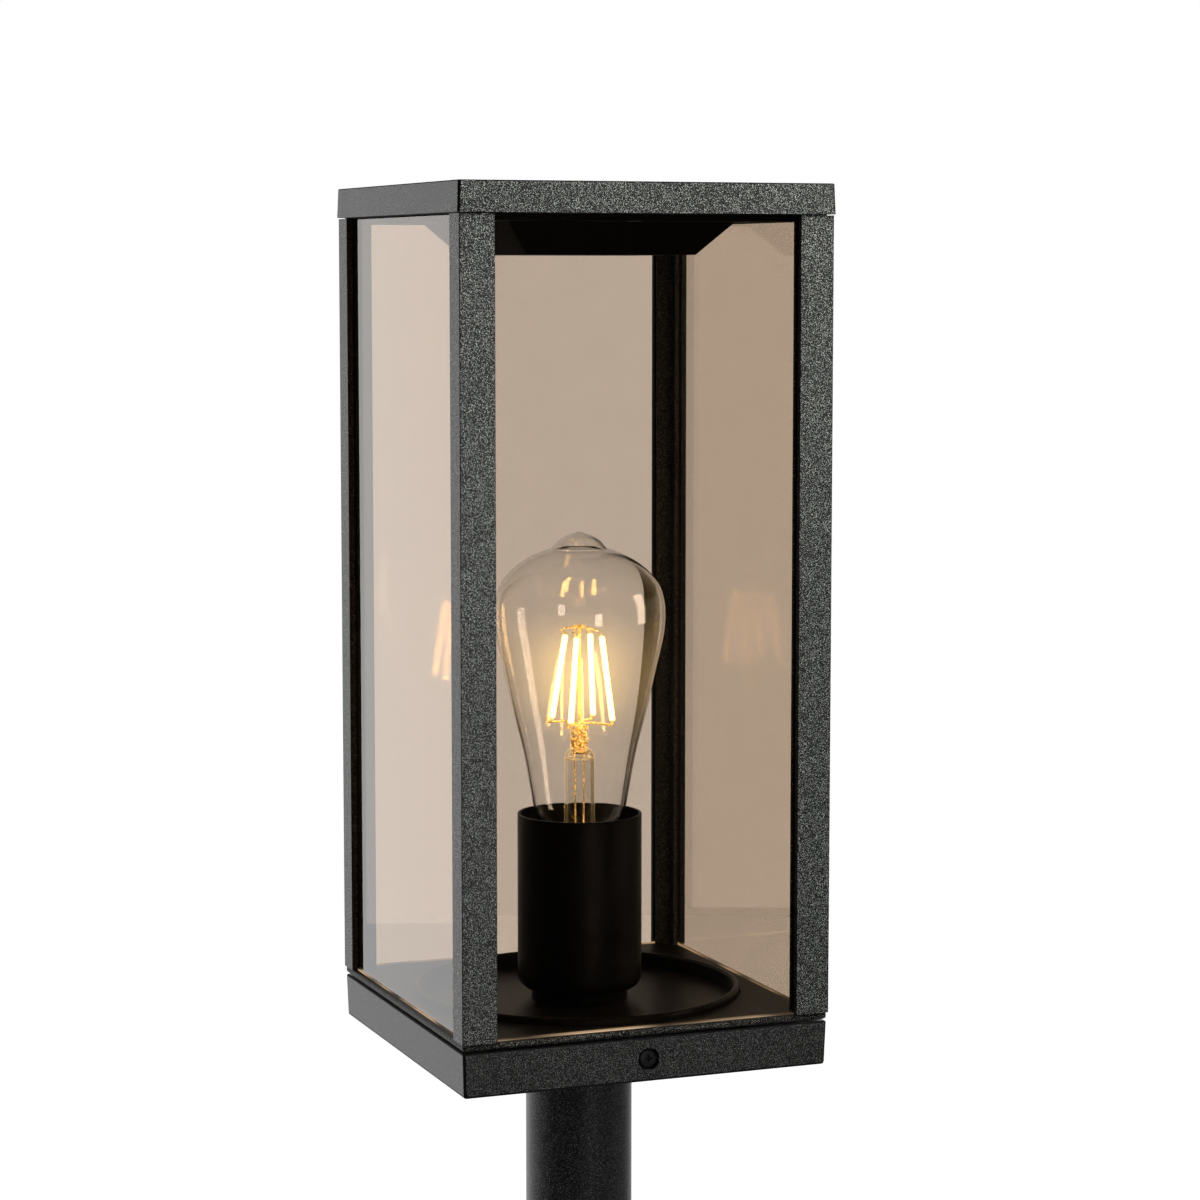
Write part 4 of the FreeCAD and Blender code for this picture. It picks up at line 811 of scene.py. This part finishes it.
outer_coat = powder_coat("outer_coat", outer_tone, grain_glint=100.0, gloss=0.38, shine=0.3, depth=0.00018,
                         edge=1.0)
post_edge = 0.0009
for name in [name for name in nodes if name.startswith("corner_post")]:
    dress(outer_coat, name)
    joined = nodes[name].modifiers.new("joined", "WELD")
    joined.merge_threshold = 1e-6
    eased = nodes[name].modifiers.new("eased", "BEVEL")
    eased.width = post_edge
    eased.segments = 3
    eased.limit_method = "ANGLE"
    eased.angle_limit = math.radians(50)
    eased.harden_normals = True

# Panes
# Four panes of smoke brown float glass with ground edges, held in the posts' grooves by black rubber strips.
# A painted amber glow along the lower edge stands in for the bulb's light gathered there.


def painted_edge_glow(finish, lowest):
    """A painted glow along the ground lower edge of a pane, for the bulb's light gathered there."""
    tree = finish.node_tree
    clouds = ranged(tree, noise(tree, object_place(tree), scale=30.0, detail=1.0), 0.4, 0.6, to_low=0.1)
    edge = ranged(tree, place_height(tree), lowest + 0.0005, lowest + 0.0003)
    lit_by(tree, (0.5, 0.36, 0.22), math_node(tree, "MULTIPLY", edge, clouds))


for word, tint, shine in (
    ("front", (0.745, 0.664, 0.589, 1), 0.5),
    ("back", (0.755, 0.672, 0.597, 1), 0.75),
    ("left", (0.643, 0.52, 0.405, 1), 0.6),
    ("right", (0.642, 0.543, 0.44, 1), 0.9),
):
    smoke_glass = clear_glass(word + "_smoke_glass", tint, waves=0.0000003,
                              plain={"IOR": 1.5, "Specular IOR Level": shine, "Emission Strength": 1.0})
    painted_edge_glow(smoke_glass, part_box("pane_" + word)[0].z)
    dress(smoke_glass, "pane_" + word)
dress(black_rubber, "glazing_strips")

# Top frame and gasket
# A flat metal frame that ties the posts' upper ends, under four screws. A square rubber gasket
# lies between it and the heat shield.

inner_coat = powder_coat("inner_coat", (0.0012, 0.0011, 0.0008, 1), grain_glint=1.0, gloss=0.55, shine=0.06,
                         depth=0.00002)
dress(inner_coat, "top_frame")
dress(black_rubber, "roof_gasket")
dress(stainless, "post_top_screws")

# Heat shield
# A pressed sheet with a sunk square middle, screwed up under the top frame, that keeps the bulb's
# heat off the roof. Its underside is matt black.

dress(inner_coat, "heat_shield")
dress(stainless, "heat_shield_screws")

# Roof cap
# A die-cast cap with a plain skirt over the posts, held from below by four screws. It has the strongest
# grain and painted glints of all, and painted shade on its sharp edges and inner faces.

roof_coat = powder_coat("roof_coat", (0.0057, 0.0060, 0.0055, 1), grain_glint=108.0, gloss=0.38, shine=0.3,
                        depth=0.0002, edge=1.0)
dress(roof_coat, "roof_cap")
dress(stainless, "roof_cap_screws")

# Floor
# A plain white studio floor. Seen straight it is lifted to white, and it keeps the shadow.

floor_radius = 2.6
floor_mesh = bpy.data.meshes.new("floor")
floor_form = bmesh.new()
bmesh.ops.create_circle(floor_form, cap_ends=True, radius=floor_radius, segments=96)
floor_form.to_mesh(floor_mesh)
floor_form.free()
floor = bpy.data.objects.new("floor", floor_mesh)
bpy.context.scene.collection.objects.link(floor)
matt_white = {"Roughness": 0.9, "Specular IOR Level": 0.1}
floor_paint, floor_tree, floor_shader = new_finish("floor_paint", matt_white)
floor_clouds = noise(floor_tree, object_place(floor_tree), scale=3.0, detail=2.0)
floor_tone = ranged(floor_tree, floor_clouds, 0.3, 0.7, to_low=0.76, to_high=0.8)


def not_after(tree, depth):
    """1 for a ray before its first bounce of one kind, and 0 after it."""
    return left_of_one(tree, math_node(tree, "MINIMUM", add_node(tree, "LightPath").outputs[depth], 1.0))


unmirrored = not_after(floor_tree, "Glossy Depth")
straight = math_node(floor_tree, "MULTIPLY", unmirrored, not_after(floor_tree, "Diffuse Depth"))
floor_colour = math_node(floor_tree, "MULTIPLY", floor_tone, unmirrored)
floor_tree.links.new(floor_colour, floor_shader.inputs["Base Color"])
from_post = add_node(floor_tree, "VectorMath", {0: object_place(floor_tree)}, operation="LENGTH")
lift_share = ranged(floor_tree, from_post.outputs["Value"], 0.1, 1.1, to_low=0.62, to_high=0.9)
lift_level = math_node(floor_tree, "MULTIPLY", straight, lift_share)
lift = add_node(floor_tree, "Emission", {"Strength": lift_level})
both = add_node(floor_tree, "AddShader", {0: floor_shader.outputs[0], 1: lift.outputs[0]})
floor_tree.links.new(both.outputs[0], floor_tree.nodes["Material Output"].inputs["Surface"])
floor_mesh.materials.append(floor_paint)
floor.visible_glossy = False

# Lamps
# A soft lamp above the front, a small one at the left, a window of light straight in front and a
# tall strip at the right. The last two are what the bulb's glass mirrors.


def soft_lamp(name, place, aim, width, height, power):
    """A rectangular studio lamp that faces a point."""
    light = bpy.data.lights.new(name, "AREA")
    light.shape = "RECTANGLE"
    light.size = width
    light.size_y = height
    light.energy = power
    lamp = bpy.data.objects.new(name, light)
    bpy.context.scene.collection.objects.link(lamp)
    away = Vector(place) - Vector(aim)
    lamp.rotation_euler = away.to_track_quat("Z", "Y").to_euler()
    lamp.location = place
    return lamp


above = soft_lamp("top_lamp", (0.2, -0.27, 1.15), aim=(0.04, -0.07, 0.64), width=0.3, height=0.16, power=7.6)
left = soft_lamp("left_lamp", (-0.74, 0.13, 0.56), aim=(0, 0, 0.56), width=0.18, height=0.38, power=1.2)
for lamp in (above, left):
    lamp.visible_glossy = False
    lamp.visible_transmission = False
window = soft_lamp("front_window", (0.09, -1.17, 0.58), aim=(0, 0, 0.6), width=0.2, height=0.26, power=2.4)
strip = soft_lamp("right_strip", (1.05, -0.38, 0.8), aim=(0, 0, 0.6), width=0.3, height=0.66, power=8.0)
for lamp in (window, strip):
    lamp.visible_diffuse = False

# Surroundings
# White all round to the camera and through the glass. Polished surfaces mirror them bright behind
# the object and nearly black at its sides and in front, and matt ones get a weak even light.

world = bpy.data.worlds.new("studio")
bpy.context.scene.world = world
world.use_nodes = True
sky = world.node_tree
ray = add_node(sky, "LightPath").outputs
toward = add_node(sky, "SeparateXYZ", {0: add_node(sky, "TexCoord").outputs["Generated"]}).outputs
mirrored = ranged(sky, toward["Y"], 0.1, 0.93, to_low=0.008, to_high=1.4)
through_glass = math_node(sky, "MULTIPLY_ADD", ray["Is Transmission Ray"], -0.4, 1.0)
reflected = math_node(sky, "MULTIPLY", mirrored, through_glass)
diffused = math_node(sky, "MINIMUM", ray["Diffuse Depth"], 1.0)
soft = add_node(sky, "Mix", {0: diffused, 2: reflected, 3: 0.11}, data_type="FLOAT").outputs[0]
bounces = math_node(sky, "ADD", ray["Diffuse Depth"], ray["Glossy Depth"])
bounced = math_node(sky, "MINIMUM", bounces, 1.0)
level = add_node(sky, "Mix", {0: bounced, 2: 1.0, 3: soft}, data_type="FLOAT").outputs[0]
sky.links.new(level, sky.nodes["Background"].inputs["Strength"])
sky.nodes["Background"].inputs["Color"].default_value = (1, 1, 1, 1)

# Camera
# At eye level with the lantern's top, a little to its left, with a long lens.

camera_turn = 0.3743
camera_tilt = 0.1024
lens = bpy.data.cameras.new("camera")
lens.lens = 95.89
lens.sensor_width = 36.0
camera = bpy.data.objects.new("camera", lens)
bpy.context.scene.collection.objects.link(camera)
camera.location = (-0.4249, -1.1037, 0.7688)
camera.rotation_euler = (math.pi / 2 - camera_tilt, 0, -camera_turn)
bpy.context.scene.camera = camera
bpy.context.scene.view_settings.view_transform = "Standard"
